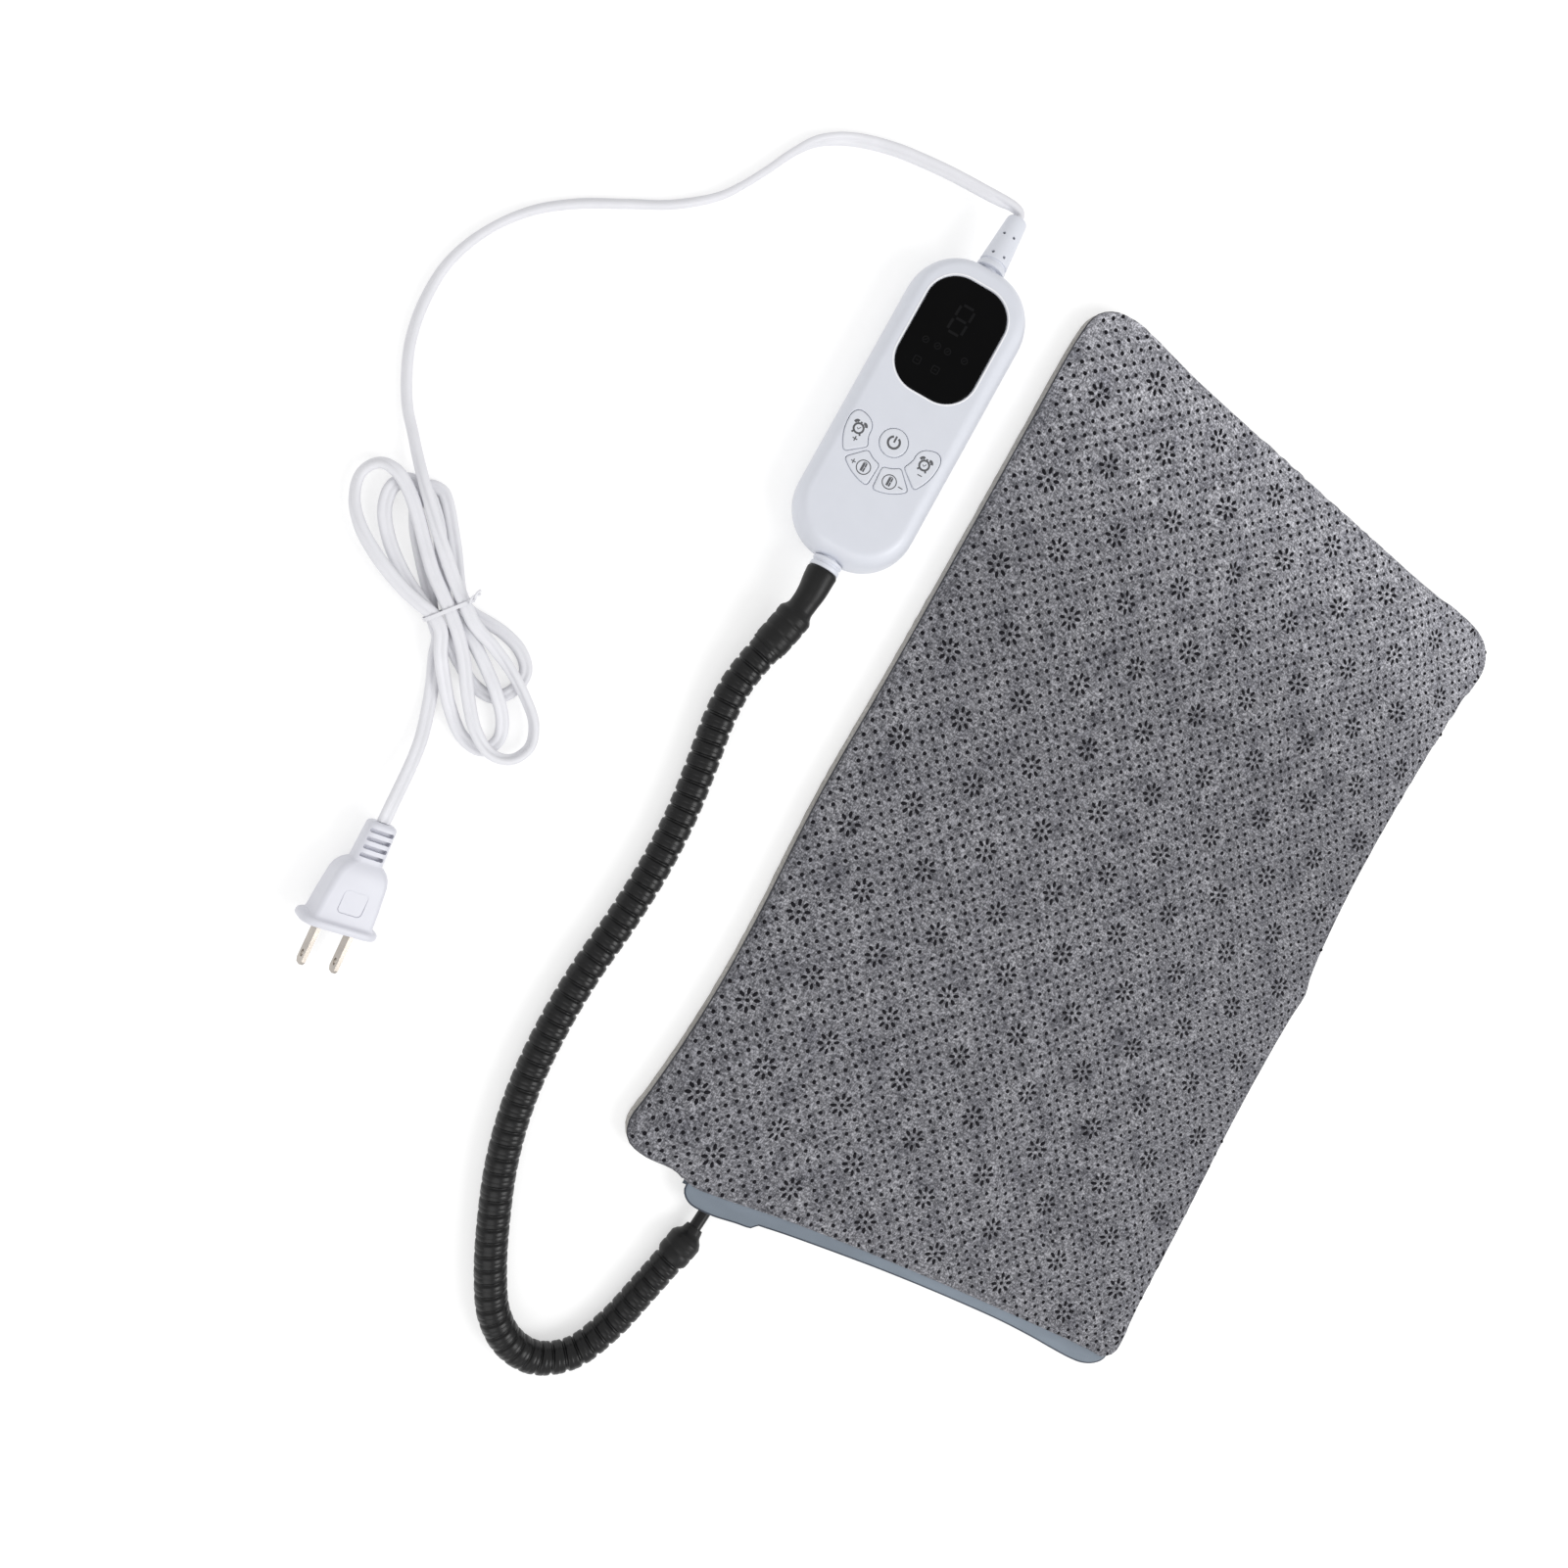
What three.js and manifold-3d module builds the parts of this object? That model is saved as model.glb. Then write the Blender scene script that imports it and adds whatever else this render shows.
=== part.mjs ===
import * as THREE from 'three';
import { mergeVertices } from 'three/addons/utils/BufferGeometryUtils.js';
import Module from 'manifold-3d';

const wasm = await Module();
wasm.setup();

// A heating pad in a zipped fabric cover, with a hand controller on a ribbed hose
// and a flat mains cord that is tied up in a hank.
// Millimetres, +Z up. The origin is the middle of the pad's underside, +Y runs along the pad.

// Clearance between pieces that seat on each other, and between pieces that slide
const FIT = 0.3;
const SLIDE_FIT = 0.5;

// Fabric cover of the pad: a plush tray below and a crowned grip panel above
const PAD_WIDTH = 300;
const PAD_LENGTH = 420;
const PAD_HEIGHT = 13.4;
const PAD_CORNER = 14;
const PLUSH_THICK = 2.4;
const GRIP_THICK = 1.6;
const SEAM_Z = 7.5;
const HEM_ROUND = 1.6;
const CROWN_REACH = 2.8;
const PULL_LEFT = 2.5;
const PULL_RIGHT = 5;
const PULL_FAR = 1;
const PULL_FRONT = 2;

// Zip along the front edge
const ZIP_LEFT = -114;
const ZIP_RIGHT = 144;
const ZIP_DEPTH = 6;
const ZIP_HEAD = 10.6;
const TAPE_UPPER_THICK = 0.7;
const TAPE_LOWER_THICK = 0.5;
const TAPE_SEWN = 8;
const FLAP_OUT = 6;
const FLAP_FLARE = 5.6;
const FLAP_ROUND = 24;
const TAPE_LOWER_OUT = 4.5;
const TEETH_OUT = 1.2;
const TEETH_DEPTH = 2.2;
const TEETH_HEIGHT = 2.3;
const TEETH_LEFT_GAP = 26;
const TEETH_RIGHT_GAP = 20.5;
const STOP_LENGTH = 2.2;
const SLIDER_X = -72;
const SLIDER_LENGTH = 8;
const SLIDER_HEIGHT = 4.8;
const SLIDER_PLATE = 1;
const SLIDER_POST = 2;
const BAIL_INSET = 1;
const BAIL_WIDTH = 1;
const BAIL_WIRE = 0.7;
const BAIL_HOLE = 1.8;
const PULL_WIDTH = 3.6;
const PULL_LENGTH = 14;
const PULL_SHEET = 0.8;
const PULL_PIN_D = 1;

// Heating insert: two liners, two felts and the wire between them
const INSERT_SIDE_GAP = 12;
const INSERT_FRONT_GAP = 26;
const INSERT_FAR_GAP = 20;
const INSERT_CORNER = 10;
const LINER_THICK = 0.5;
const FELT_THICK = 0.8;
const WIRE_D = 2;
const WIRE_RUNS = 8;
const WIRE_SIDE_GAP = 17;
const WIRE_FRONT_GAP = 34;
const WIRE_FAR_GAP = 8;
const WIRE_RETURN_GAP = 9;
const CUTOUT_D = 2.6;
const CUTOUT_LENGTH = 14;
const SENSOR_D = 2.4;
const SENSOR_LENGTH = 7;
const CLAMP_X = -98;
const CLAMP_WIDTH = 16;
const CLAMP_LENGTH = 15.7;
const CLAMP_HEIGHT = 6.3;

// Lead, ribbed hose and shrink sleeves between the controller and the pad
const LEAD_D = 5.6;
const LEAD_Z = 6.4;
const HOSE_D = 13.5;
const HOSE_ROOT_D = 11.6;
const HOSE_BORE_D = 9.4;
const RIB_PITCH = 5.9;
const HOSE_SIDES = 8;
const NECK_LENGTH = 19;
const LEAD_FREE = 34;
const SLEEVE_WALL = 0.6;
const UPPER_SLEEVE_LENGTH = 38;
const UPPER_SLEEVE_END_D = 13.2;
const UPPER_SLEEVE_NECK_D = 11;
const LOWER_SLEEVE_OVER = 10;
const LOWER_SLEEVE_PAST = 5.5;
const LOWER_SLEEVE_TIP_D = 8.4;

// Controller case
const CASE_X = -197.5;
const CASE_Y = 111.2;
const CASE_YAW = 0.5;
const CASE_ROLL = 20.6;
const CASE_LENGTH = 136;
const CASE_WIDTH = 52.2;
const CASE_HEIGHT = 20;
const CASE_END_FLAT = 7.6;
const CASE_PARTING = 8.5;
const CASE_WALL = 2.2;
const CASE_ROOF = 2.2;
const CASE_FLOOR = 2;
const CASE_CROWN = 6.2;
const CASE_FOOT = 5;
const CORD_Z = 10;

// Screws, bosses and posts inside the case
const SCREW_SIDE_GAP = 10.5;
const SCREW_END_GAP = 16;
const SCREW_D = 2.6;
const SCREW_LENGTH = 12.2;
const HEAD_D = 4.6;
const HEAD_HEIGHT = 1.5;
const HEAD_SUNK = 1.8;
const BOSS_D = 6.4;
const POST_SIDE_GAP = 4;
const POST_END_GAP = 5;
const POST_D = 5;

// Circuit board and what is soldered on it
const BOARD_SIDE_GAP = 6;
const BOARD_END_GAP = 23.5;
const BOARD_THICK = 1.5;
const BOARD_Z = 8.9;
const MODULE_WIDTH = 30;
const MODULE_LENGTH = 38;
const MODULE_SHIFT = 2.1;
const SWITCH_SIZE = 6;
const SWITCH_HEIGHT = 2.7;
const SWITCH_FLOOR = 0.6;
const PLUNGER_D = 3.2;
const PLUNGER_OUT = 0.9;
const PLUNGER_IN = 1.4;
const TERMINAL_LENGTH = 8;
const TERMINAL_HEIGHT = 5.6;
const TERMINAL_END_GAP = 3;
const MAINS_TERMINAL_WIDTH = 12;
const HEATER_TERMINAL_WIDTH = 18;

// Display lens
const LENS_WIDTH = 34.4;
const LENS_LENGTH = 50.2;
const LENS_CORNER = 13;
const LENS_END_GAP = 11;
const LENS_THICK = 1.3;
const LENS_PROUD = 0.1;
const LENS_LEDGE = 2.5;

// Keys: a round power key with four arc keys round it
const KEY_GAP = 22.8;
const POWER_D = 11.4;
const ARC_INNER = 10.5;
const ARC_OUTER = 20.3;
const ARC_CORNER = 1.6;
const HEAT_FROM = 4;
const HEAT_TO = 44.5;
const TIMER_FROM = 52;
const TIMER_TO = 107;
const KEY_PROUD = 0.25;
const KEY_FLANGE = 0.7;
const KEY_FLANGE_THICK = 1.4;
const KEY_FLANGE_DROP = 1;
const KEY_STEM_D = 4;

// Strain relief boot of the mains cord and collar of the hose, both held in the case's end walls
const GLAND_NECK_D = 8.8;
const GLAND_FLANGE_D = 11.2;
const GLAND_FLANGE_THICK = 2;
const GLAND_SETBACK = 2.8;
const BOOT_LENGTH = 25;
const BOOT_BASE_D = 12.8;
const BOOT_TIP_D = 8.8;
const BOOT_RING = 2.6;
const BOOT_GROOVE = 0.6;
const BOOT_GROOVE_WIDTH = 1.2;
const BOOT_HOLE_D = 1.5;
const COLLAR_D = 12.8;
const COLLAR_LENGTH = 4.6;
const COLLAR_GROOVE = 0.7;

// Flat twin mains cord
const CORD_WIDTH = 5.2;
const CORD_THICK = 2.9;
const CORD_GROOVE = 0.4;

// Hank of the cord: loops in three layers, strands side by side in a layer where the tie draws them in
const HANK_X = -317.4;
const HANK_Y = -50.8;
const HANK_ANGLE = 143.13;
const HANK_SIDE = 6;
const HANK_LOW = 2.85;
const HANK_HIGH = 9.3;
const HANK_LEAD = 4;
const TIE_WIDTH = 2;
const TIE_THICK = 0.8;
const TIE_TAIL = 9;

// Two-blade plug
const PLUG_X = -299.74;
const PLUG_Y = -131.58;
const PLUG_YAW = -175.06;
const PLUG_ROLL = 14;
const NECK_WIDTH = 11;
const NECK_THICK = 8.4;
const PLUG_NECK = 16;
const PLUG_BODY = 23.3;
const BODY_WIDTH = 20;
const BODY_THICK = 12.5;
const BODY_END_WIDTH = 23;
const BODY_END_THICK = 14;
const FLANGE_WIDTH = 30;
const FLANGE_HEIGHT = 18;
const FLANGE_THICK = 3;
const FLANGE_CORNER = 6.5;
const NECK_SLOTS = 4;
const NECK_SLOT = 1.4;
const NECK_SLOT_DEPTH = 1.5;
const PANEL_WIDTH = 12;
const PANEL_LENGTH = 13;
const PANEL_DEPTH = 0.6;
const BLADE_GAP = 12.7;
const BLADE_WIDTH = 6.35;
const BLADE_THICK = 1.5;
const BLADE_OUT = 16.5;
const BLADE_SEAT = 9;
const BLADE_HOLE_D = 3;
const BLADE_HOLE_FROM_TIP = 4;
const BLADE_TIP = 1.4;

// Height of loose pieces over the surface that the object lies on
const FLOOR_GAP = 0.15;

// Colours of the materials
const GREY_FELT = { color: 0x82868b, roughness: 0.95, metalness: 0 };
const PLUSH = { color: 0xb8b3ad, roughness: 0.97, metalness: 0 };
const SLATE_TAPE = { color: 0x7d8c9b, roughness: 0.85, metalness: 0 };
const ZIP_NYLON = { color: 0x5f6e7c, roughness: 0.5, metalness: 0 };
const INNER_FELT = { color: 0xe4e1da, roughness: 0.95, metalness: 0 };
const INNER_LINER = { color: 0x55575b, roughness: 0.9, metalness: 0 };
const WIRE_JACKET = { color: 0xd8d2c4, roughness: 0.6, metalness: 0 };
const BLACK_HOSE = { color: 0x141415, roughness: 0.45, metalness: 0 };
const BLACK_SLEEVE = { color: 0x0e0e0f, roughness: 0.65, metalness: 0 };
const WHITE_CASE = { color: 0xf0f2f5, roughness: 0.35, metalness: 0 };
const WHITE_KEY = { color: 0xf4f5f7, roughness: 0.4, metalness: 0 };
const BLACK_GLASS = { color: 0x050506, roughness: 0.06, metalness: 0 };
const DARK_PLASTIC = { color: 0x1b1c1e, roughness: 0.5, metalness: 0 };
const GREEN_BOARD = { color: 0x1f6a3c, roughness: 0.55, metalness: 0 };
const NICKEL = { color: 0xcdd0d3, roughness: 0.25, metalness: 1 };
const WHITE_CORD = { color: 0xf1f1ef, roughness: 0.5, metalness: 0 };

const part = new THREE.Group();
const controller = new THREE.Group();
const caseRoll = THREE.MathUtils.degToRad(CASE_ROLL);
const CASE_LIFT = (CASE_WIDTH / 2 - CASE_FOOT) * Math.sin(caseRoll)
  + Math.hypot(CASE_FOOT * Math.sin(caseRoll), CASE_PARTING * Math.cos(caseRoll)) - CASE_PARTING * Math.cos(caseRoll);
controller.position.set(CASE_X, CASE_Y, CASE_LIFT);
controller.rotation.set(0, -caseRoll, THREE.MathUtils.degToRad(CASE_YAW), 'ZYX');
const plug = new THREE.Group();
const plugRoll = THREE.MathUtils.degToRad(PLUG_ROLL);
const PLUG_LIFT = (FLANGE_WIDTH / 2 - FLANGE_CORNER) * Math.sin(plugRoll)
  + (FLANGE_HEIGHT / 2 - FLANGE_CORNER) * Math.cos(plugRoll) + FLANGE_CORNER;
plug.position.set(PLUG_X, PLUG_Y, PLUG_LIFT + FLOOR_GAP);
plug.rotation.set(0, -plugRoll, THREE.MathUtils.degToRad(PLUG_YAW), 'ZYX');
part.add(controller, plug);
part.updateMatrixWorld(true);

// One closed body: shared corners merged, empty faces dropped and all faces turned outwards
function closedBody(source) {
  let geometry = source.clone();
  geometry.deleteAttribute('normal');
  geometry.deleteAttribute('uv');
  geometry = mergeVertices(geometry, 1e-4);
  const at = geometry.attributes.position;
  const faces = [];
  let volume = 0;
  const [a, b, c] = [new THREE.Vector3(), new THREE.Vector3(), new THREE.Vector3()];
  for (let i = 0; i < geometry.index.count; i += 3) {
    const [p, q, r] = [0, 1, 2].map((k) => geometry.index.getX(i + k));
    if (p === q || q === r || r === p) continue;
    a.fromBufferAttribute(at, p);
    b.fromBufferAttribute(at, q);
    c.fromBufferAttribute(at, r);
    volume += a.dot(b.cross(c)) / 6;
    faces.push([p, q, r]);
  }
  if (volume < 0) faces.forEach((face) => face.reverse());
  geometry.setIndex(faces.flat());
  return geometry;
}

function toSolid(geometry) {
  const body = closedBody(geometry);
  return new wasm.Manifold(new wasm.Mesh({
    numProp: 3,
    vertProperties: new Float32Array(body.attributes.position.array),
    triVerts: new Uint32Array(body.index.array),
  }));
}

function toGeometry(solid) {
  const found = solid.getMesh();
  const geometry = new THREE.BufferGeometry();
  geometry.setAttribute('position', new THREE.BufferAttribute(new Float32Array(found.vertProperties), 3));
  geometry.setIndex(Array.from(found.triVerts));
  return geometry;
}

// Joins the pieces in the first list and cuts those in the second list away
function combine(joined, cut = []) {
  let solid = toSolid(joined[0]);
  joined.slice(1).forEach((geometry) => {
    solid = solid.add(toSolid(geometry));
  });
  cut.forEach((geometry) => {
    solid = solid.subtract(toSolid(geometry));
  });
  return toGeometry(solid);
}

function addPiece(name, geometry, look, parent = part) {
  const body = closedBody(geometry);
  body.computeVertexNormals();
  const piece = new THREE.Mesh(body, new THREE.MeshStandardMaterial(look));
  piece.name = name;
  parent.add(piece);
  return piece;
}

// Corner points of a rounded rectangle, counter-clockwise, with points along its sides if asked for
function roundedRing(halfX, halfY, radius, cornerSteps, stepsX = 1, stepsY = 1) {
  const signs = [[1, 1], [-1, 1], [-1, -1], [1, -1]];
  const onCorner = (i, angle) => new THREE.Vector2(
    signs[i][0] * (halfX - radius) + radius * Math.cos(angle),
    signs[i][1] * (halfY - radius) + radius * Math.sin(angle),
  );
  const ring = [];
  for (let i = 0; i < 4; i++) {
    const start = (i * Math.PI) / 2;
    for (let k = 0; k <= cornerSteps; k++) {
      ring.push(onCorner(i, start + (k / cornerSteps) * (Math.PI / 2)));
    }
    const from = onCorner(i, start + Math.PI / 2);
    const to = onCorner((i + 1) % 4, start + Math.PI / 2);
    const steps = i % 2 === 0 ? stepsX : stepsY;
    for (let k = 1; k < steps; k++) {
      ring.push(from.clone().lerp(to, k / steps));
    }
  }
  return ring;
}

const atHeight = (ring, z) => ring.map((p) => new THREE.Vector3(p.x, p.y, z));

// Triangles that close a ring, in the ring's own sense
function capFaces(ring) {
  const normal = new THREE.Vector3();
  ring.forEach((p, i) => normal.add(p.clone().cross(ring[(i + 1) % ring.length])));
  normal.normalize();
  const across = Math.abs(normal.z) > 0.9 ? new THREE.Vector3(1, 0, 0) : new THREE.Vector3(0, 0, 1);
  const u = across.cross(normal).normalize();
  const v = normal.clone().cross(u);
  const flat = ring.map((p) => new THREE.Vector2(p.dot(u), p.dot(v)));
  const sense = Math.sign(THREE.ShapeUtils.area(flat));
  return THREE.ShapeUtils.triangulateShape(flat, []).map((face) => {
    const area = THREE.ShapeUtils.area(face.map((i) => flat[i]));
    return Math.sign(area) === sense ? face : [...face].reverse();
  });
}

// Skin through rings of points: capped at both ends, or closed on itself as a hollow tube is
function loft(rings, hollow = false) {
  const count = rings[0].length;
  const faces = [];
  const spans = hollow ? rings.length : rings.length - 1;
  for (let i = 0; i < spans; i++) {
    const near = i * count;
    const far = ((i + 1) % rings.length) * count;
    for (let k = 0; k < count; k++) {
      const next = (k + 1) % count;
      faces.push(near + k, near + next, far + next, near + k, far + next, far + k);
    }
  }
  if (!hollow) {
    capFaces(rings[0]).forEach(([a, b, c]) => faces.push(c, b, a));
    const last = (rings.length - 1) * count;
    capFaces(rings[rings.length - 1]).forEach(([a, b, c]) => faces.push(last + a, last + b, last + c));
  }
  const geometry = new THREE.BufferGeometry();
  const flat = rings.flat().flatMap((p) => [p.x, p.y, p.z]);
  geometry.setAttribute('position', new THREE.Float32BufferAttribute(flat, 3));
  geometry.setIndex(faces);
  return geometry;
}

// Plate of an outline in the XY plane between two heights
function plate(outline, z0, z1, holes = []) {
  const shape = new THREE.Shape(outline);
  holes.forEach((hole) => shape.holes.push(new THREE.Path(hole)));
  const geometry = new THREE.ExtrudeGeometry(shape, { depth: z1 - z0, bevelEnabled: false });
  return geometry.translate(0, 0, z0);
}

// Bar of an outline in the YZ plane between two places along X
function barAlongX(outline, x0, x1, holes = []) {
  const geometry = plate(outline, x0, x1, holes);
  const turn = new THREE.Matrix4().makeBasis(
    new THREE.Vector3(0, 1, 0), new THREE.Vector3(0, 0, 1), new THREE.Vector3(1, 0, 0),
  );
  return geometry.applyMatrix4(turn);
}

function block(x0, x1, y0, y1, z0, z1) {
  const geometry = new THREE.BoxGeometry(x1 - x0, y1 - y0, z1 - z0);
  return geometry.translate((x0 + x1) / 2, (y0 + y1) / 2, (z0 + z1) / 2);
}

// Upright rod, and a revolved piece whose profile is [radius, height] from axis to axis
function rod(diameter, x, y, z0, z1, sides = 12) {
  const geometry = new THREE.CylinderGeometry(diameter / 2, diameter / 2, z1 - z0, sides);
  return geometry.rotateX(Math.PI / 2).translate(x, y, (z0 + z1) / 2);
}

function revolved(profile, sides) {
  return new THREE.LatheGeometry(profile.map(([r, h]) => new THREE.Vector2(r, h)), sides);
}

const smooth = (x, from, to) => THREE.MathUtils.smoothstep(x, from, to);

// Level side direction and upward normal of a path at a tangent
function pathFrame(tangent) {
  const side = new THREE.Vector3(0, 0, 1).cross(tangent).normalize();
  return { side, up: tangent.clone().cross(side).normalize() };
}

function tangents(points) {
  return points.map((p, i) => {
    const before = points[Math.max(i - 1, 0)];
    const after = points[Math.min(i + 1, points.length - 1)];
    return after.clone().sub(before).normalize();
  });
}

// Section swept along points; the roll turns it about the path, 0 flat and a quarter turn on edge
function sweep(points, section, roll = () => 0) {
  const ways = tangents(points);
  let length = 0;
  return loft(points.map((p, i) => {
    if (i > 0) length += p.distanceTo(points[i - 1]);
    const { side, up } = pathFrame(ways[i]);
    const angle = roll(length);
    return section.map(([a, b]) => p.clone()
      .addScaledVector(side, a * Math.cos(angle) - b * Math.sin(angle))
      .addScaledVector(up, a * Math.sin(angle) + b * Math.cos(angle)));
  }));
}

function circleSection(diameter, sides) {
  return Array.from({ length: sides }, (_, k) => {
    const angle = ((k + 0.5) / sides) * 2 * Math.PI;
    return [(diameter / 2) * Math.cos(angle), (diameter / 2) * Math.sin(angle)];
  });
}

function splineThrough(points) {
  const curve = new THREE.CatmullRomCurve3(points, false, 'centripetal');
  curve.arcLengthDivisions = 1200;
  return curve;
}

const at = (x, y, z) => new THREE.Vector3(x, y, z);

// Cover. Every ring is a rounded rectangle, drawn in along its sides as the sewn seams draw it.
const EDGE_FRONT = -PAD_LENGTH / 2;
const EDGE_FAR = PAD_LENGTH / 2;

function padRing(inset, z) {
  const halfX = PAD_WIDTH / 2;
  const halfY = PAD_LENGTH / 2;
  const corner = Math.max(PAD_CORNER - inset, PAD_CORNER / 3);
  const ring = roundedRing(halfX - inset, halfY - inset, corner, 5, 6, 8);
  return ring.map((p) => {
    const pullX = p.x < 0 ? PULL_LEFT : PULL_RIGHT;
    const pullY = p.y < 0 ? PULL_FRONT : PULL_FAR;
    const x = p.x - Math.sign(p.x) * pullX * (1 - (p.y / halfY) ** 2) * (p.x / halfX) ** 4;
    const y = p.y - Math.sign(p.y) * pullY * (1 - (p.x / halfX) ** 2) * (p.y / halfY) ** 4;
    return at(x, y, z);
  });
}

const GRIP_RIM = SEAM_Z + FIT;
const crownAt = (inset, rise) => GRIP_RIM + rise * (1 - Math.exp(-Math.sqrt(inset / CROWN_REACH)));
const OUTER_INSETS = [100, 45, 14, 5, 1.6, 0.4, 0];
const INNER_INSETS = [0, 3.4, 12, 45, 98];

const zipOpening = block(ZIP_LEFT, ZIP_RIGHT, EDGE_FRONT - 2 * TAPE_SEWN, EDGE_FRONT + ZIP_DEPTH,
  PLUSH_THICK + 0.1, ZIP_HEAD);

addPiece('plush_panel', combine([loft([
  padRing(HEM_ROUND, 0),
  padRing(HEM_ROUND * 0.3, HEM_ROUND * 0.5),
  padRing(0, HEM_ROUND * 1.5),
  padRing(0, SEAM_Z),
  padRing(PLUSH_THICK, SEAM_Z),
  padRing(PLUSH_THICK, PLUSH_THICK),
])], [zipOpening]), PLUSH);

addPiece('grip_panel', combine([loft([
  ...OUTER_INSETS.map((d) => padRing(d, crownAt(d, PAD_HEIGHT - GRIP_RIM))),
  ...INNER_INSETS.map((d) => padRing(GRIP_THICK + d, crownAt(d, PAD_HEIGHT - GRIP_THICK - GRIP_RIM))),
])], [zipOpening]), GREY_FELT);

// Zip: the upper tape is a flap that flares at both ends, the lower one lies on the plush panel
const FLAP_TOP = ZIP_HEAD - FIT;
const FLAP_BOTTOM = FLAP_TOP - TAPE_UPPER_THICK;
const LOWER_TAPE_TOP = PLUSH_THICK + FIT + TAPE_LOWER_THICK;
const TAPE_INNER_Y = EDGE_FRONT + TAPE_SEWN;
const ZIP_END_GAP = 1;

const flapOutline = [];
const FLAP_STEPS = 24;
for (let i = 0; i <= FLAP_STEPS; i++) {
  const share = Math.sin(Math.PI * (i / FLAP_STEPS - 0.5));
  const x = THREE.MathUtils.lerp(ZIP_LEFT + ZIP_END_GAP, ZIP_RIGHT - ZIP_END_GAP, (1 + share) / 2);
  const edge = (FLAP_OUT + FLAP_FLARE * share ** 2) * Math.sqrt(1 - share ** FLAP_ROUND);
  flapOutline.push(new THREE.Vector2(x, EDGE_FRONT - edge));
}
flapOutline.push(new THREE.Vector2(ZIP_RIGHT - ZIP_END_GAP, EDGE_FRONT + ZIP_DEPTH - FIT));
flapOutline.push(new THREE.Vector2(ZIP_LEFT + ZIP_END_GAP, EDGE_FRONT + ZIP_DEPTH - FIT));
addPiece('zip_tape_upper', plate(flapOutline, FLAP_BOTTOM, FLAP_TOP), SLATE_TAPE);
addPiece('zip_tape_lower', block(ZIP_LEFT + ZIP_END_GAP, ZIP_RIGHT - ZIP_END_GAP,
  EDGE_FRONT - TAPE_LOWER_OUT, TAPE_INNER_Y, PLUSH_THICK + FIT, LOWER_TAPE_TOP), SLATE_TAPE);

const TEETH_FRONT = EDGE_FRONT - TEETH_OUT - TEETH_DEPTH;
const TEETH_BACK = EDGE_FRONT - TEETH_OUT;
const TEETH_X0 = ZIP_LEFT + TEETH_LEFT_GAP;
const TEETH_X1 = ZIP_RIGHT - TEETH_RIGHT_GAP;
const UPPER_TEETH_TOP = FLAP_BOTTOM - FIT;
const UPPER_TEETH_BOTTOM = UPPER_TEETH_TOP - TEETH_HEIGHT;
const LOWER_TEETH_BOTTOM = LOWER_TAPE_TOP + FIT;
const LOWER_TEETH_TOP = LOWER_TEETH_BOTTOM + TEETH_HEIGHT;

// Coil section: a flat sewn side and a rounded side towards the other row
function coilOutline(base, tip) {
  const bend = base + (tip - base) * 0.7;
  const inset = TEETH_DEPTH * 0.25;
  return [
    new THREE.Vector2(TEETH_FRONT, base),
    new THREE.Vector2(TEETH_FRONT, bend),
    new THREE.Vector2(TEETH_FRONT + inset, tip),
    new THREE.Vector2(TEETH_BACK - inset, tip),
    new THREE.Vector2(TEETH_BACK, bend),
    new THREE.Vector2(TEETH_BACK, base),
  ];
}
addPiece('zip_teeth_upper', barAlongX(coilOutline(UPPER_TEETH_TOP, UPPER_TEETH_BOTTOM), TEETH_X0, TEETH_X1),
  ZIP_NYLON);
addPiece('zip_teeth_lower', barAlongX(coilOutline(LOWER_TEETH_BOTTOM, LOWER_TEETH_TOP), TEETH_X0, TEETH_X1),
  ZIP_NYLON);
addPiece('zip_bottom_stop', block(TEETH_X1 + FIT, TEETH_X1 + FIT + STOP_LENGTH, TEETH_FRONT, TEETH_BACK,
  LOWER_TEETH_BOTTOM, UPPER_TEETH_TOP), ZIP_NYLON);

// Slider: two plates astride the coils, a post in the slit between them, and a bail for the pull
const SLIT_MIDDLE = (LOWER_TEETH_TOP + UPPER_TEETH_BOTTOM) / 2;
const SLIDER_X0 = SLIDER_X - SLIDER_LENGTH / 2;
const SLIDER_X1 = SLIDER_X + SLIDER_LENGTH / 2;
const SLIDER_LOW = SLIT_MIDDLE - SLIDER_HEIGHT / 2;
const SLIDER_HIGH = SLIT_MIDDLE + SLIDER_HEIGHT / 2;
const OUTER_PLATE_BACK = TEETH_FRONT - SLIDE_FIT;
const OUTER_PLATE_FRONT = OUTER_PLATE_BACK - SLIDER_PLATE;
const INNER_PLATE_FRONT = TEETH_BACK + SLIDE_FIT;
const POST_HALF = (UPPER_TEETH_BOTTOM - LOWER_TEETH_TOP) / 2 - FIT;
const PIN_Y = OUTER_PLATE_FRONT - PULL_PIN_D / 2 - FIT / 2 - 0.1;
const PIN_X = SLIDER_X + 1;
const BAIL_FRONT = PIN_Y - BAIL_HOLE / 2;
const BAIL_START = SLIDER_X0 + BAIL_INSET;
const BAIL_END = PIN_X + BAIL_HOLE / 2 + BAIL_WIRE;
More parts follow.
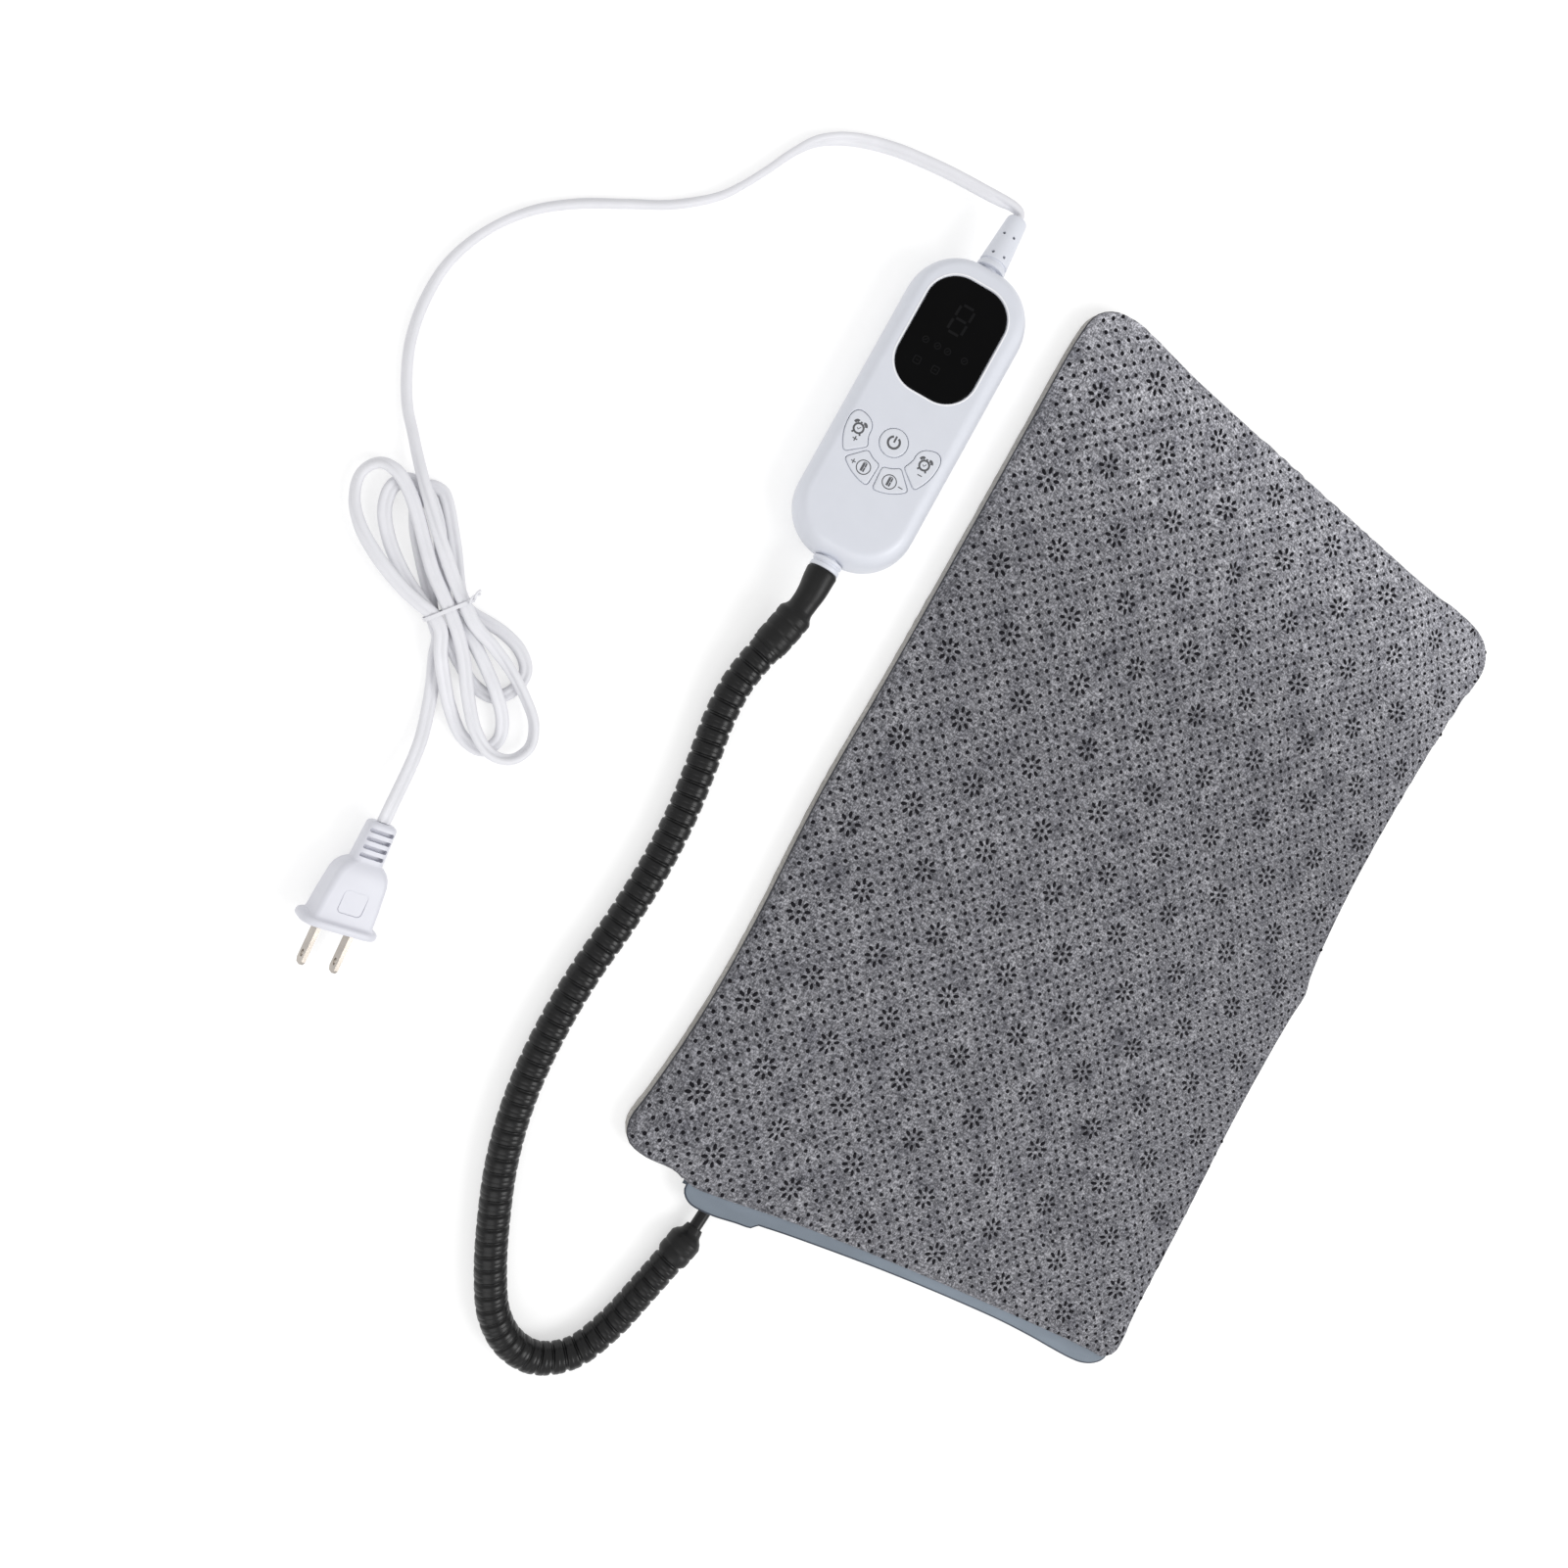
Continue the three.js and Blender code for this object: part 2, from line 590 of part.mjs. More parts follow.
addPiece('zip_slider', combine([
  block(SLIDER_X0, SLIDER_X1, INNER_PLATE_FRONT, INNER_PLATE_FRONT + SLIDER_PLATE, SLIDER_LOW, SLIDER_HIGH),
  block(SLIDER_X0, SLIDER_X1, OUTER_PLATE_FRONT, OUTER_PLATE_BACK, SLIDER_LOW, SLIDER_HIGH),
  block(SLIDER_X0, SLIDER_X0 + SLIDER_POST, OUTER_PLATE_FRONT + SLIDER_PLATE / 2,
    INNER_PLATE_FRONT + SLIDER_PLATE / 2, SLIT_MIDDLE - POST_HALF, SLIT_MIDDLE + POST_HALF),
  block(BAIL_START, BAIL_END, BAIL_FRONT - BAIL_WIRE, OUTER_PLATE_FRONT + SLIDER_PLATE / 2,
    SLIT_MIDDLE - BAIL_WIDTH / 2, SLIT_MIDDLE + BAIL_WIDTH / 2),
], [
  block(PIN_X - BAIL_HOLE / 2, PIN_X + BAIL_HOLE / 2, BAIL_FRONT, OUTER_PLATE_FRONT,
    SLIT_MIDDLE - BAIL_WIDTH, SLIT_MIDDLE + BAIL_WIDTH),
]), NICKEL);

// Pull: a fork with a pin through the bail and a plain tab
const BAIL_REACH = Math.max(BAIL_END - PIN_X, PIN_X - BAIL_START);
const FORK_REACH = Math.hypot(BAIL_REACH, PIN_Y - BAIL_FRONT + BAIL_WIRE) + FIT;
const FORK_GAP = BAIL_WIDTH / 2 + SLIDE_FIT;
const PULL_FRONT_Y = PIN_Y - PULL_SHEET / 2;
const PULL_BACK_Y = PIN_Y + PULL_SHEET / 2;
const PULL_LOW = SLIT_MIDDLE - PULL_WIDTH / 2;
const PULL_HIGH = SLIT_MIDDLE + PULL_WIDTH / 2;
const pullFork = combine([
  block(PIN_X - PULL_PIN_D / 2, PIN_X + PULL_LENGTH, PULL_FRONT_Y, PULL_BACK_Y, PULL_LOW, PULL_HIGH),
], [
  block(PIN_X - PULL_PIN_D, PIN_X + FORK_REACH, PULL_FRONT_Y - 1, PULL_BACK_Y + 1,
    SLIT_MIDDLE - FORK_GAP, SLIT_MIDDLE + FORK_GAP),
]);
addPiece('zip_pull', combine([pullFork, rod(PULL_PIN_D, PIN_X, PIN_Y, PULL_LOW, PULL_HIGH, 8)]), NICKEL);

// Heating insert inside the cover, from the plush panel upwards
const INSERT_HALF = PAD_WIDTH / 2 - INSERT_SIDE_GAP;
const INSERT_FRONT = EDGE_FRONT + INSERT_FRONT_GAP;
const INSERT_FAR = EDGE_FAR - INSERT_FAR_GAP;
const INSERT_MIDDLE = (INSERT_FRONT + INSERT_FAR) / 2;
const insertOutline = roundedRing(INSERT_HALF, (INSERT_FAR - INSERT_FRONT) / 2, INSERT_CORNER, 4)
  .map((p) => new THREE.Vector2(p.x, p.y + INSERT_MIDDLE));
const LINER_LOW = PLUSH_THICK + FIT;
const FELT_LOW = LINER_LOW + LINER_THICK + FIT;
const WIRE_LOW = FELT_LOW + FELT_THICK + FIT;
const FELT_HIGH = WIRE_LOW + CUTOUT_D + FIT;
const LINER_HIGH = FELT_HIGH + FELT_THICK + FIT;
addPiece('insert_liner_lower', plate(insertOutline, LINER_LOW, LINER_LOW + LINER_THICK), INNER_LINER);
addPiece('insert_felt_lower', plate(insertOutline, FELT_LOW, FELT_LOW + FELT_THICK), INNER_FELT);
addPiece('insert_felt_upper', plate(insertOutline, FELT_HIGH, FELT_HIGH + FELT_THICK), INNER_FELT);
addPiece('insert_liner_upper', plate(insertOutline, LINER_HIGH, LINER_HIGH + LINER_THICK), INNER_LINER);

// Heating wire: up and down in even runs, then back along the front to the clamp
const WIRE_Z = WIRE_LOW + WIRE_D / 2;
const RUN_HALF = INSERT_HALF - WIRE_SIDE_GAP;
const RUN_STEP = (2 * RUN_HALF) / (WIRE_RUNS - 1);
const BEND = RUN_STEP / 2;
const BEND_STEPS = 6;
const RUN_FRONT = INSERT_FRONT + WIRE_FRONT_GAP;
const RUN_FAR = INSERT_FAR - WIRE_FAR_GAP - BEND;
const RETURN_Y = INSERT_FRONT + WIRE_RETURN_GAP;
const WIRE_START = INSERT_FRONT + FIT;
const WIRE_PAIR = CLAMP_WIDTH / 4;
const wirePoints = [
  at(CLAMP_X - WIRE_PAIR, WIRE_START, WIRE_Z),
  at(CLAMP_X - WIRE_PAIR, RETURN_Y, WIRE_Z),
  at((CLAMP_X - WIRE_PAIR - RUN_HALF) / 2, RETURN_Y + WIRE_PAIR, WIRE_Z),
];
for (let run = 0; run < WIRE_RUNS; run++) {
  const x = -RUN_HALF + run * RUN_STEP;
  const upwards = run % 2 === 0;
  wirePoints.push(at(x, upwards ? RUN_FRONT : RUN_FAR, WIRE_Z), at(x, upwards ? RUN_FAR : RUN_FRONT, WIRE_Z));
  for (let k = 1; k < BEND_STEPS && run < WIRE_RUNS - 1; k++) {
    const angle = (k / BEND_STEPS) * Math.PI;
    const out = (upwards ? 1 : -1) * BEND * Math.sin(angle);
    wirePoints.push(at(x + BEND * (1 - Math.cos(angle)), (upwards ? RUN_FAR : RUN_FRONT) + out, WIRE_Z));
  }
}
wirePoints.push(
  at(RUN_HALF - WIRE_PAIR, RETURN_Y + WIRE_PAIR, WIRE_Z),
  at(RUN_HALF - 3 * WIRE_PAIR, RETURN_Y, WIRE_Z),
  at(CLAMP_X + 2 * WIRE_PAIR, RETURN_Y, WIRE_Z),
  at(CLAMP_X + WIRE_PAIR, RETURN_Y - WIRE_PAIR / 2, WIRE_Z),
  at(CLAMP_X + WIRE_PAIR, WIRE_START, WIRE_Z),
);
addPiece('heating_wire', sweep(wirePoints, circleSection(WIRE_D, 6)), WIRE_JACKET);

// Cutout and sensor lie on the lower felt between two runs of the wire
const layFlat = (diameter, length, x, y) => new THREE.CylinderGeometry(diameter / 2, diameter / 2, length, 10)
  .translate(x, y, WIRE_LOW + diameter / 2);
addPiece('thermal_cutout', layFlat(CUTOUT_D, CUTOUT_LENGTH, 0, INSERT_MIDDLE - RUN_STEP), DARK_PLASTIC);
addPiece('temperature_sensor', layFlat(SENSOR_D, SENSOR_LENGTH, RUN_STEP, INSERT_MIDDLE + RUN_STEP), DARK_PLASTIC);

// Clamp of the lead on the insert's front edge
const CLAMP_BACK = INSERT_FRONT - FIT;
const CLAMP_FACE = CLAMP_BACK - CLAMP_LENGTH;
const clampOutline = roundedRing(CLAMP_WIDTH / 2, CLAMP_LENGTH / 2, 2.5, 3)
  .map((p) => new THREE.Vector2(p.x + CLAMP_X, p.y + (CLAMP_BACK + CLAMP_FACE) / 2));
addPiece('lead_clamp', plate(clampOutline, LINER_LOW, LINER_LOW + CLAMP_HEIGHT), DARK_PLASTIC);

// Route of the hose and the lead inside it, from the collar's face round to the clamp
const caseAxis = at(0, 1, 0).applyQuaternion(controller.quaternion);
const collarFace = controller.localToWorld(at(0, -CASE_LENGTH / 2 - COLLAR_LENGTH, CORD_Z));
const HOSE_Z = HOSE_D / 2 + FLOOR_GAP;
const SLEEVE_Z = HOSE_Z + FIT + SLEEVE_WALL + FLOOR_GAP;
const hoseRoute = splineThrough([
  collarFace.clone().addScaledVector(caseAxis, -FIT),
  collarFace.clone().addScaledVector(caseAxis, -3.4),
  at(-199.9, 29, 16.4), at(-200.1, 21.7, 15.1), at(-201.2, 11.7, 13.2), at(-203, 1.3, 11.3), at(-204.8, -9.2, 9.7),
  at(-205.6, -18.8, 8.5), at(-205.1, -27.8, 7.6), at(-204.1, -36.5, 7.1),
  at(-201, -54, HOSE_Z), at(-198, -76, HOSE_Z),
  at(-197, -100, HOSE_Z), at(-198.3, -126, HOSE_Z), at(-200.8, -152, HOSE_Z), at(-201, -180, HOSE_Z),
  at(-198.4, -206, HOSE_Z), at(-192.3, -231, HOSE_Z), at(-183.3, -254, HOSE_Z), at(-172, -277, HOSE_Z),
  at(-161.5, -292.5, HOSE_Z), at(-149, -301.5, HOSE_Z), at(-135, -303.8, HOSE_Z), at(-121.5, -297, HOSE_Z),
  at(-112.5, -281, HOSE_Z), at(-107, -261, 7.4), at(-103.2, -245, SLEEVE_Z), at(-100.6, -234, SLEEVE_Z),
  at(-98.6, -223.5, LEAD_Z + FIT), at(-98, -214, LEAD_Z), at(CLAMP_X, CLAMP_FACE - FIT, LEAD_Z),
]);
const ROUTE_LENGTH = hoseRoute.getLength();
const HOSE_FROM = NECK_LENGTH;
const HOSE_TO = ROUTE_LENGTH - LEAD_FREE;

function hoseRing(distance, diameter) {
  const share = THREE.MathUtils.clamp(distance / ROUTE_LENGTH, 0, 1);
  const centre = hoseRoute.getPointAt(share);
  const { side, up } = pathFrame(hoseRoute.getTangentAt(share));
  return circleSection(diameter, HOSE_SIDES).map(([a, b]) => centre.clone()
    .addScaledVector(side, a).addScaledVector(up, b));
}

// Hollow piece along the route: outer rings one way and inner rings back
function hollowAlong(outer, inner) {
  return loft([
    ...outer.map(([s, d]) => hoseRing(s, d)),
    ...[...inner].reverse().map(([s, d]) => hoseRing(s, d)),
  ], true);
}

const leadOutline = circleSection(LEAD_D, 8).map(([a, b]) => new THREE.Vector2(a, b));
addPiece('pad_lead', new THREE.ExtrudeGeometry(new THREE.Shape(leadOutline), {
  steps: 44, extrudePath: hoseRoute, bevelEnabled: false,
}), BLACK_HOSE);

const RIBS = Math.round((HOSE_TO - HOSE_FROM) / RIB_PITCH);
const ribStep = (HOSE_TO - HOSE_FROM) / RIBS;
const hoseOuter = [];
const hoseBore = [];
for (let rib = 0; rib < RIBS; rib++) {
  const start = HOSE_FROM + rib * ribStep;
  hoseOuter.push([start, HOSE_ROOT_D], [start + ribStep / 2, HOSE_D]);
  hoseBore.push([start, HOSE_BORE_D]);
}
hoseOuter.push([HOSE_TO, HOSE_ROOT_D]);
hoseBore.push([HOSE_TO, HOSE_BORE_D]);
addPiece('ribbed_hose', hollowAlong(hoseOuter, hoseBore), BLACK_HOSE);

// Shrink sleeves: tight on the hose's ends, drawn down on the lead beyond them
const FLAT_SHARE = Math.cos(Math.PI / HOSE_SIDES);
const SLEEVE_BORE_D = HOSE_D + (2 * FIT) / FLAT_SHARE;
const SLEEVE_D = SLEEVE_BORE_D + (2 * SLEEVE_WALL) / FLAT_SHARE;
const NECK_BORE_D = LEAD_D + (4 * FIT) / FLAT_SHARE;
const UPPER_STEP = HOSE_FROM - SLIDE_FIT;
addPiece('upper_shrink_sleeve', hollowAlong([
  [0, UPPER_SLEEVE_END_D],
  [NECK_LENGTH * 0.3, UPPER_SLEEVE_END_D - 0.8],
  [NECK_LENGTH * 0.75, UPPER_SLEEVE_NECK_D],
  [NECK_LENGTH * 0.9, UPPER_SLEEVE_NECK_D + 0.6],
  [NECK_LENGTH + 1, SLEEVE_D - 0.4],
  [NECK_LENGTH + 3, SLEEVE_D],
  [(NECK_LENGTH + UPPER_SLEEVE_LENGTH) / 2, SLEEVE_D],
  [UPPER_SLEEVE_LENGTH, SLEEVE_D],
], [
  [0, NECK_BORE_D],
  [NECK_LENGTH * 0.3, NECK_BORE_D],
  [NECK_LENGTH * 0.75, NECK_BORE_D],
  [UPPER_STEP - SLIDE_FIT, NECK_BORE_D],
  [UPPER_STEP, SLEEVE_BORE_D],
  [NECK_LENGTH + 3, SLEEVE_BORE_D],
  [(NECK_LENGTH + UPPER_SLEEVE_LENGTH) / 2, SLEEVE_BORE_D],
  [UPPER_SLEEVE_LENGTH, SLEEVE_BORE_D],
]), BLACK_SLEEVE);
addPiece('lower_shrink_sleeve', hollowAlong([
  [HOSE_TO - LOWER_SLEEVE_OVER, SLEEVE_D],
  [HOSE_TO - LOWER_SLEEVE_OVER / 2, SLEEVE_D],
  [HOSE_TO + FIT, SLEEVE_D],
  [HOSE_TO + LOWER_SLEEVE_PAST * 0.45, (SLEEVE_D + LOWER_SLEEVE_TIP_D) / 2],
  [HOSE_TO + LOWER_SLEEVE_PAST, LOWER_SLEEVE_TIP_D],
], [
  [HOSE_TO - LOWER_SLEEVE_OVER, SLEEVE_BORE_D],
  [HOSE_TO - LOWER_SLEEVE_OVER / 2, SLEEVE_BORE_D],
  [HOSE_TO + FIT, SLEEVE_BORE_D],
  [HOSE_TO + 2 * FIT, NECK_BORE_D],
  [HOSE_TO + LOWER_SLEEVE_PAST, NECK_BORE_D],
]), BLACK_SLEEVE);

// Controller case: two shells with an elliptical crown, parted level
const CASE_CORNER = (CASE_WIDTH - CASE_END_FLAT) / 2;
const FRONT_RIM = CASE_PARTING + FIT;
const ROOF_Z = CASE_HEIGHT - CASE_ROOF;
const CROWN_ANGLES = [0, 24, 47, 69, 90].map((degrees) => THREE.MathUtils.degToRad(degrees));

function caseRing(inset, z) {
  return atHeight(roundedRing(CASE_WIDTH / 2 - inset, CASE_LENGTH / 2 - inset, CASE_CORNER - inset, 7), z);
}

function shellRings(rim, outerTop, innerTop, outerRound) {
  const outer = CROWN_ANGLES.map((a) => caseRing(
    outerRound * (1 - Math.cos(a)), rim + (outerTop - rim) * Math.sin(a)));
  const inner = CROWN_ANGLES.map((a) => caseRing(
    CASE_WALL + (outerRound - CASE_WALL) * (1 - Math.cos(a)), rim + (innerTop - rim) * Math.sin(a)));
  return loft([...outer.reverse(), ...inner]);
}

// Board, lens and keys are placed from the case's sides and its cord end
const BOARD_WIDTH = CASE_WIDTH - 2 * BOARD_SIDE_GAP;
const BOARD_LENGTH = CASE_LENGTH - 2 * BOARD_END_GAP;
const LENS_V = (CASE_LENGTH - LENS_LENGTH) / 2 - LENS_END_GAP;
const KEY_V = LENS_V - LENS_LENGTH / 2 - KEY_GAP;
const MODULE_V = LENS_V - MODULE_SHIFT;

const fourCorners = (u, v) => [[u, v], [-u, v], [-u, -v], [u, -v]];
const screwPlaces = fourCorners(CASE_WIDTH / 2 - SCREW_SIDE_GAP, CASE_LENGTH / 2 - SCREW_END_GAP);
const postPlaces = fourCorners(BOARD_WIDTH / 2 - POST_SIDE_GAP, BOARD_LENGTH / 2 - POST_END_GAP);
const HEAD_TOP = HEAD_SUNK + HEAD_HEIGHT;
const SCREW_TIP = HEAD_SUNK + SCREW_LENGTH;

// Holes for the two glands through the end walls
const glandHole = (side) => new THREE.CylinderGeometry(
  GLAND_NECK_D / 2 + FIT, GLAND_NECK_D / 2 + FIT, 4 * CASE_WALL, 16)
  .translate(0, side * (CASE_LENGTH / 2 - CASE_WALL), CORD_Z);
const glandHoles = [glandHole(1), glandHole(-1)];

// Outline of an arc key about the power key, on side -1 or +1, grown by a margin on every side
function arcOutline(side, from, to, roundEnd, grow) {
  const inner = ARC_INNER - grow;
  const outer = ARC_OUTER + grow;
  const middle = (inner + outer) / 2;
  const a0 = THREE.MathUtils.degToRad(from) - grow / middle;
  const a1 = THREE.MathUtils.degToRad(to) + grow / middle;
  const place = (r, a) => new THREE.Vector2(side * r * Math.sin(a), KEY_V - r * Math.cos(a));
  const small = ARC_CORNER + grow * 0.5;
  const large = roundEnd ? (outer - inner) * 0.48 : small;
  const outline = [];
  const turn = (p, q, r, steps) => {
    const curve = new THREE.QuadraticBezierCurve(p, q, r);
    outline.push(...curve.getPoints(steps));
  };
  const arc = (r, from0, to0, steps) => {
    for (let k = 1; k < steps; k++) outline.push(place(r, from0 + ((to0 - from0) * k) / steps));
  };
  turn(place(outer - small, a0), place(outer, a0), place(outer, a0 + small / outer), 2);
  arc(outer, a0 + small / outer, a1 - large / outer, 4);
  turn(place(outer, a1 - large / outer), place(outer, a1), place(outer - large, a1), roundEnd ? 4 : 2);
  turn(place(inner + large, a1), place(inner, a1), place(inner, a1 - large / inner), roundEnd ? 4 : 2);
  arc(inner, a1 - large / inner, a0 + small / inner, 3);
  turn(place(inner, a0 + small / inner), place(inner, a0), place(inner + small, a0), 2);
  return outline;
}

function roundOutline(diameter, v, sides) {
  return circleSection(diameter, sides).map(([a, b]) => new THREE.Vector2(a, b + v));
}

function arcMiddle(side, from, to) {
  const angle = THREE.MathUtils.degToRad((from + to) / 2);
  const r = (ARC_INNER + ARC_OUTER) / 2;
  return [side * r * Math.sin(angle), KEY_V - r * Math.cos(angle)];
}

const keys = [
  { name: 'power', stem: [0, KEY_V], outline: (grow) => roundOutline(POWER_D + 2 * grow, KEY_V, 20) },
  ...[['timer_plus', -1, TIMER_FROM, TIMER_TO, true], ['timer_minus', 1, TIMER_FROM, TIMER_TO, true],
    ['heat_plus', -1, HEAT_FROM, HEAT_TO, false], ['heat_minus', 1, HEAT_FROM, HEAT_TO, false],
  ].map(([name, side, from, to, roundEnd]) => ({
    name,
    stem: arcMiddle(side, from, to),
    outline: (grow) => arcOutline(side, from, to, roundEnd, grow),
  })),
];

// Display lens in a recess of the front shell, over a window for the display module
const LENS_BOTTOM = CASE_HEIGHT + LENS_PROUD - LENS_THICK;
const lensRing = (grow) => roundedRing(LENS_WIDTH / 2 + grow, LENS_LENGTH / 2 + grow, LENS_CORNER + grow, 6)
  .map((p) => new THREE.Vector2(p.x, p.y + LENS_V));
const ABOVE = CASE_HEIGHT + 2;
const BELOW_ROOF = ROOF_Z - CASE_ROOF;

addPiece('front_shell', combine([
  shellRings(FRONT_RIM, CASE_HEIGHT, ROOF_Z, CASE_CROWN),
  ...screwPlaces.map(([u, v]) => rod(BOSS_D, u, v, FRONT_RIM, ROOF_Z + CASE_ROOF / 2)),
], [
  ...screwPlaces.map(([u, v]) => rod(SCREW_D + 2 * FIT, u, v, FRONT_RIM - 1, SCREW_TIP + FIT)),
  ...glandHoles,
  plate(lensRing(FIT), LENS_BOTTOM - FIT, ABOVE),
  plate(lensRing(-LENS_LEDGE), BELOW_ROOF, ABOVE),
  ...keys.map((key) => plate(key.outline(FIT), BELOW_ROOF, ABOVE)),
]), WHITE_CASE, controller);

addPiece('rear_shell', combine([
  shellRings(CASE_PARTING, 0, CASE_FLOOR, CASE_FOOT),
  ...screwPlaces.map(([u, v]) => rod(BOSS_D, u, v, CASE_FLOOR / 2, CASE_PARTING)),
  ...postPlaces.map(([u, v]) => rod(POST_D, u, v, CASE_FLOOR / 2, BOARD_Z - FIT, 10)),
], [
  ...screwPlaces.map(([u, v]) => rod(SCREW_D + 2 * FIT, u, v, -1, CASE_PARTING + 1)),
  ...screwPlaces.map(([u, v]) => rod(HEAD_D + 2 * FIT, u, v, -1, HEAD_TOP + FIT)),
  ...glandHoles,
]), WHITE_CASE, controller);

screwPlaces.forEach(([u, v], i) => {
  const screw = revolved([[0, HEAD_SUNK], [HEAD_D / 2, HEAD_SUNK], [HEAD_D / 2, HEAD_TOP],
    [SCREW_D / 2, HEAD_TOP], [SCREW_D / 2, SCREW_TIP - 1], [0, SCREW_TIP]], 10);
  addPiece(`case_screw_${i + 1}`, screw.rotateX(Math.PI / 2).translate(u, v, 0), NICKEL, controller);
});

addPiece('display_lens', plate(lensRing(0), LENS_BOTTOM, CASE_HEIGHT + LENS_PROUD), BLACK_GLASS, controller);

// Circuit board on the posts, with the display module and the key switches on top
const BOARD_TOP = BOARD_Z + BOARD_THICK;
const ON_BOARD = BOARD_TOP + FIT;
addPiece('circuit_board', block(-BOARD_WIDTH / 2, BOARD_WIDTH / 2, -BOARD_LENGTH / 2, BOARD_LENGTH / 2,
  BOARD_Z, BOARD_TOP), GREEN_BOARD, controller);
addPiece('display_module', block(-MODULE_WIDTH / 2, MODULE_WIDTH / 2, MODULE_V - MODULE_LENGTH / 2,
  MODULE_V + MODULE_LENGTH / 2, ON_BOARD, ROOF_Z - 2 * FIT), DARK_PLASTIC, controller);

// Keys: a cap through the shell, a flange that holds it in and a stem over its switch
const SWITCH_TOP = ON_BOARD + SWITCH_HEIGHT;
const PLUNGER_TOP = SWITCH_TOP + PLUNGER_OUT;
const FLANGE_TOP = ROOF_Z - KEY_FLANGE_DROP;
const FLANGE_BOTTOM = FLANGE_TOP - KEY_FLANGE_THICK;
keys.forEach((key) => {
  const [u, v] = key.stem;
  addPiece(`${key.name}_button`, combine([
    plate(key.outline(0), FLANGE_TOP - KEY_FLANGE_THICK / 2, CASE_HEIGHT + KEY_PROUD),
    plate(key.outline(KEY_FLANGE), FLANGE_BOTTOM, FLANGE_TOP),
    rod(KEY_STEM_D, u, v, PLUNGER_TOP + FIT, FLANGE_TOP - KEY_FLANGE_THICK / 2, 8),
  ]), WHITE_KEY, controller);
  const half = SWITCH_SIZE / 2;
  addPiece(`${key.name}_switch`, combine([
    block(u - half, u + half, v - half, v + half, ON_BOARD, SWITCH_TOP),
  ], [
    rod(PLUNGER_D + 2 * FIT, u, v, ON_BOARD + SWITCH_FLOOR, SWITCH_TOP + 1, 10),
  ]), DARK_PLASTIC, controller);
  addPiece(`${key.name}_switch_plunger`, rod(PLUNGER_D, u, v, SWITCH_TOP - PLUNGER_IN, PLUNGER_TOP, 10),
    DARK_PLASTIC, controller);
});

// Parts under the board
const UNDER_BOARD = BOARD_Z - FIT;
const hung = (width, length, height, u, v) => block(u - width / 2, u + width / 2, v - length / 2, v + length / 2,
  UNDER_BOARD - height, UNDER_BOARD);
addPiece('film_capacitor', hung(7, 17.5, 5.4, -8, 18), INNER_FELT, controller);
addPiece('triac', combine([hung(10, 9, 4.4, 8, -12), hung(10, 16, 1.2, 8, -8.5)]), DARK_PLASTIC, controller);
const FUSE_D = 5;
addPiece('fuse', revolved([[0, -10], [FUSE_D / 2, -10], [FUSE_D / 2, -5], [FUSE_D / 2 - 0.3, -5],
  [FUSE_D / 2 - 0.3, 5], [FUSE_D / 2, 5], [FUSE_D / 2, 10], [0, 10]], 10)
  .translate(9, 22, UNDER_BOARD - FUSE_D / 2), NICKEL, controller);
const TERMINAL_V = (BOARD_LENGTH - TERMINAL_LENGTH) / 2 - TERMINAL_END_GAP;
addPiece('mains_terminal', hung(MAINS_TERMINAL_WIDTH, TERMINAL_LENGTH, TERMINAL_HEIGHT, 0, TERMINAL_V),
  DARK_PLASTIC, controller);
addPiece('heater_terminal', hung(HEATER_TERMINAL_WIDTH, TERMINAL_LENGTH, TERMINAL_HEIGHT, 0, -TERMINAL_V),
  DARK_PLASTIC, controller);

// Glands: a flange inside the end wall, a neck through it and the boot or collar outside
const GLAND_IN = -CASE_WALL - GLAND_SETBACK;
const glandRoot = [[0, GLAND_IN - GLAND_FLANGE_THICK], [GLAND_FLANGE_D / 2, GLAND_IN - GLAND_FLANGE_THICK],
  [GLAND_FLANGE_D / 2, GLAND_IN], [GLAND_NECK_D / 2, GLAND_IN], [GLAND_NECK_D / 2, FIT]];
const bootRadius = (h) => THREE.MathUtils.lerp(BOOT_BASE_D / 2, BOOT_TIP_D / 2, h / BOOT_LENGTH);
const BOOT_GROOVE_END = BOOT_RING + BOOT_GROOVE_WIDTH;
const boot = revolved([
  ...glandRoot,
  [BOOT_BASE_D / 2, FIT],
  [BOOT_BASE_D / 2, BOOT_RING],
  [bootRadius(BOOT_RING) - BOOT_GROOVE, BOOT_RING],
  [bootRadius(BOOT_GROOVE_END) - BOOT_GROOVE, BOOT_GROOVE_END],
  [bootRadius(BOOT_GROOVE_END), BOOT_GROOVE_END],
  [bootRadius(BOOT_LENGTH - 1), BOOT_LENGTH - 1],
  [BOOT_TIP_D / 2 - 0.5, BOOT_LENGTH],
  [0, BOOT_LENGTH],
], 14);
const bootHoles = [0.2, 0.62].flatMap((share) => {
  const h = BOOT_LENGTH * share;
  return [-1, 1].map((side) => rod(BOOT_HOLE_D, side * bootRadius(h) * 0.42, h, 0, BOOT_BASE_D, 6));
});
addPiece('mains_boot', combine([boot], bootHoles).translate(0, CASE_LENGTH / 2, CORD_Z), WHITE_CASE, controller);

const collar = revolved([
  ...glandRoot,
  [COLLAR_D / 2, FIT],
  [COLLAR_D / 2, COLLAR_LENGTH * 0.3],
  [COLLAR_D / 2 - COLLAR_GROOVE, COLLAR_LENGTH * 0.4],
  [COLLAR_D / 2 - COLLAR_GROOVE, COLLAR_LENGTH * 0.6],
  [COLLAR_D / 2, COLLAR_LENGTH * 0.7],
  [COLLAR_D / 2, COLLAR_LENGTH],
  [0, COLLAR_LENGTH],
], 14);
addPiece('hose_collar', collar.rotateZ(Math.PI).translate(0, -CASE_LENGTH / 2, CORD_Z), WHITE_CASE, controller);

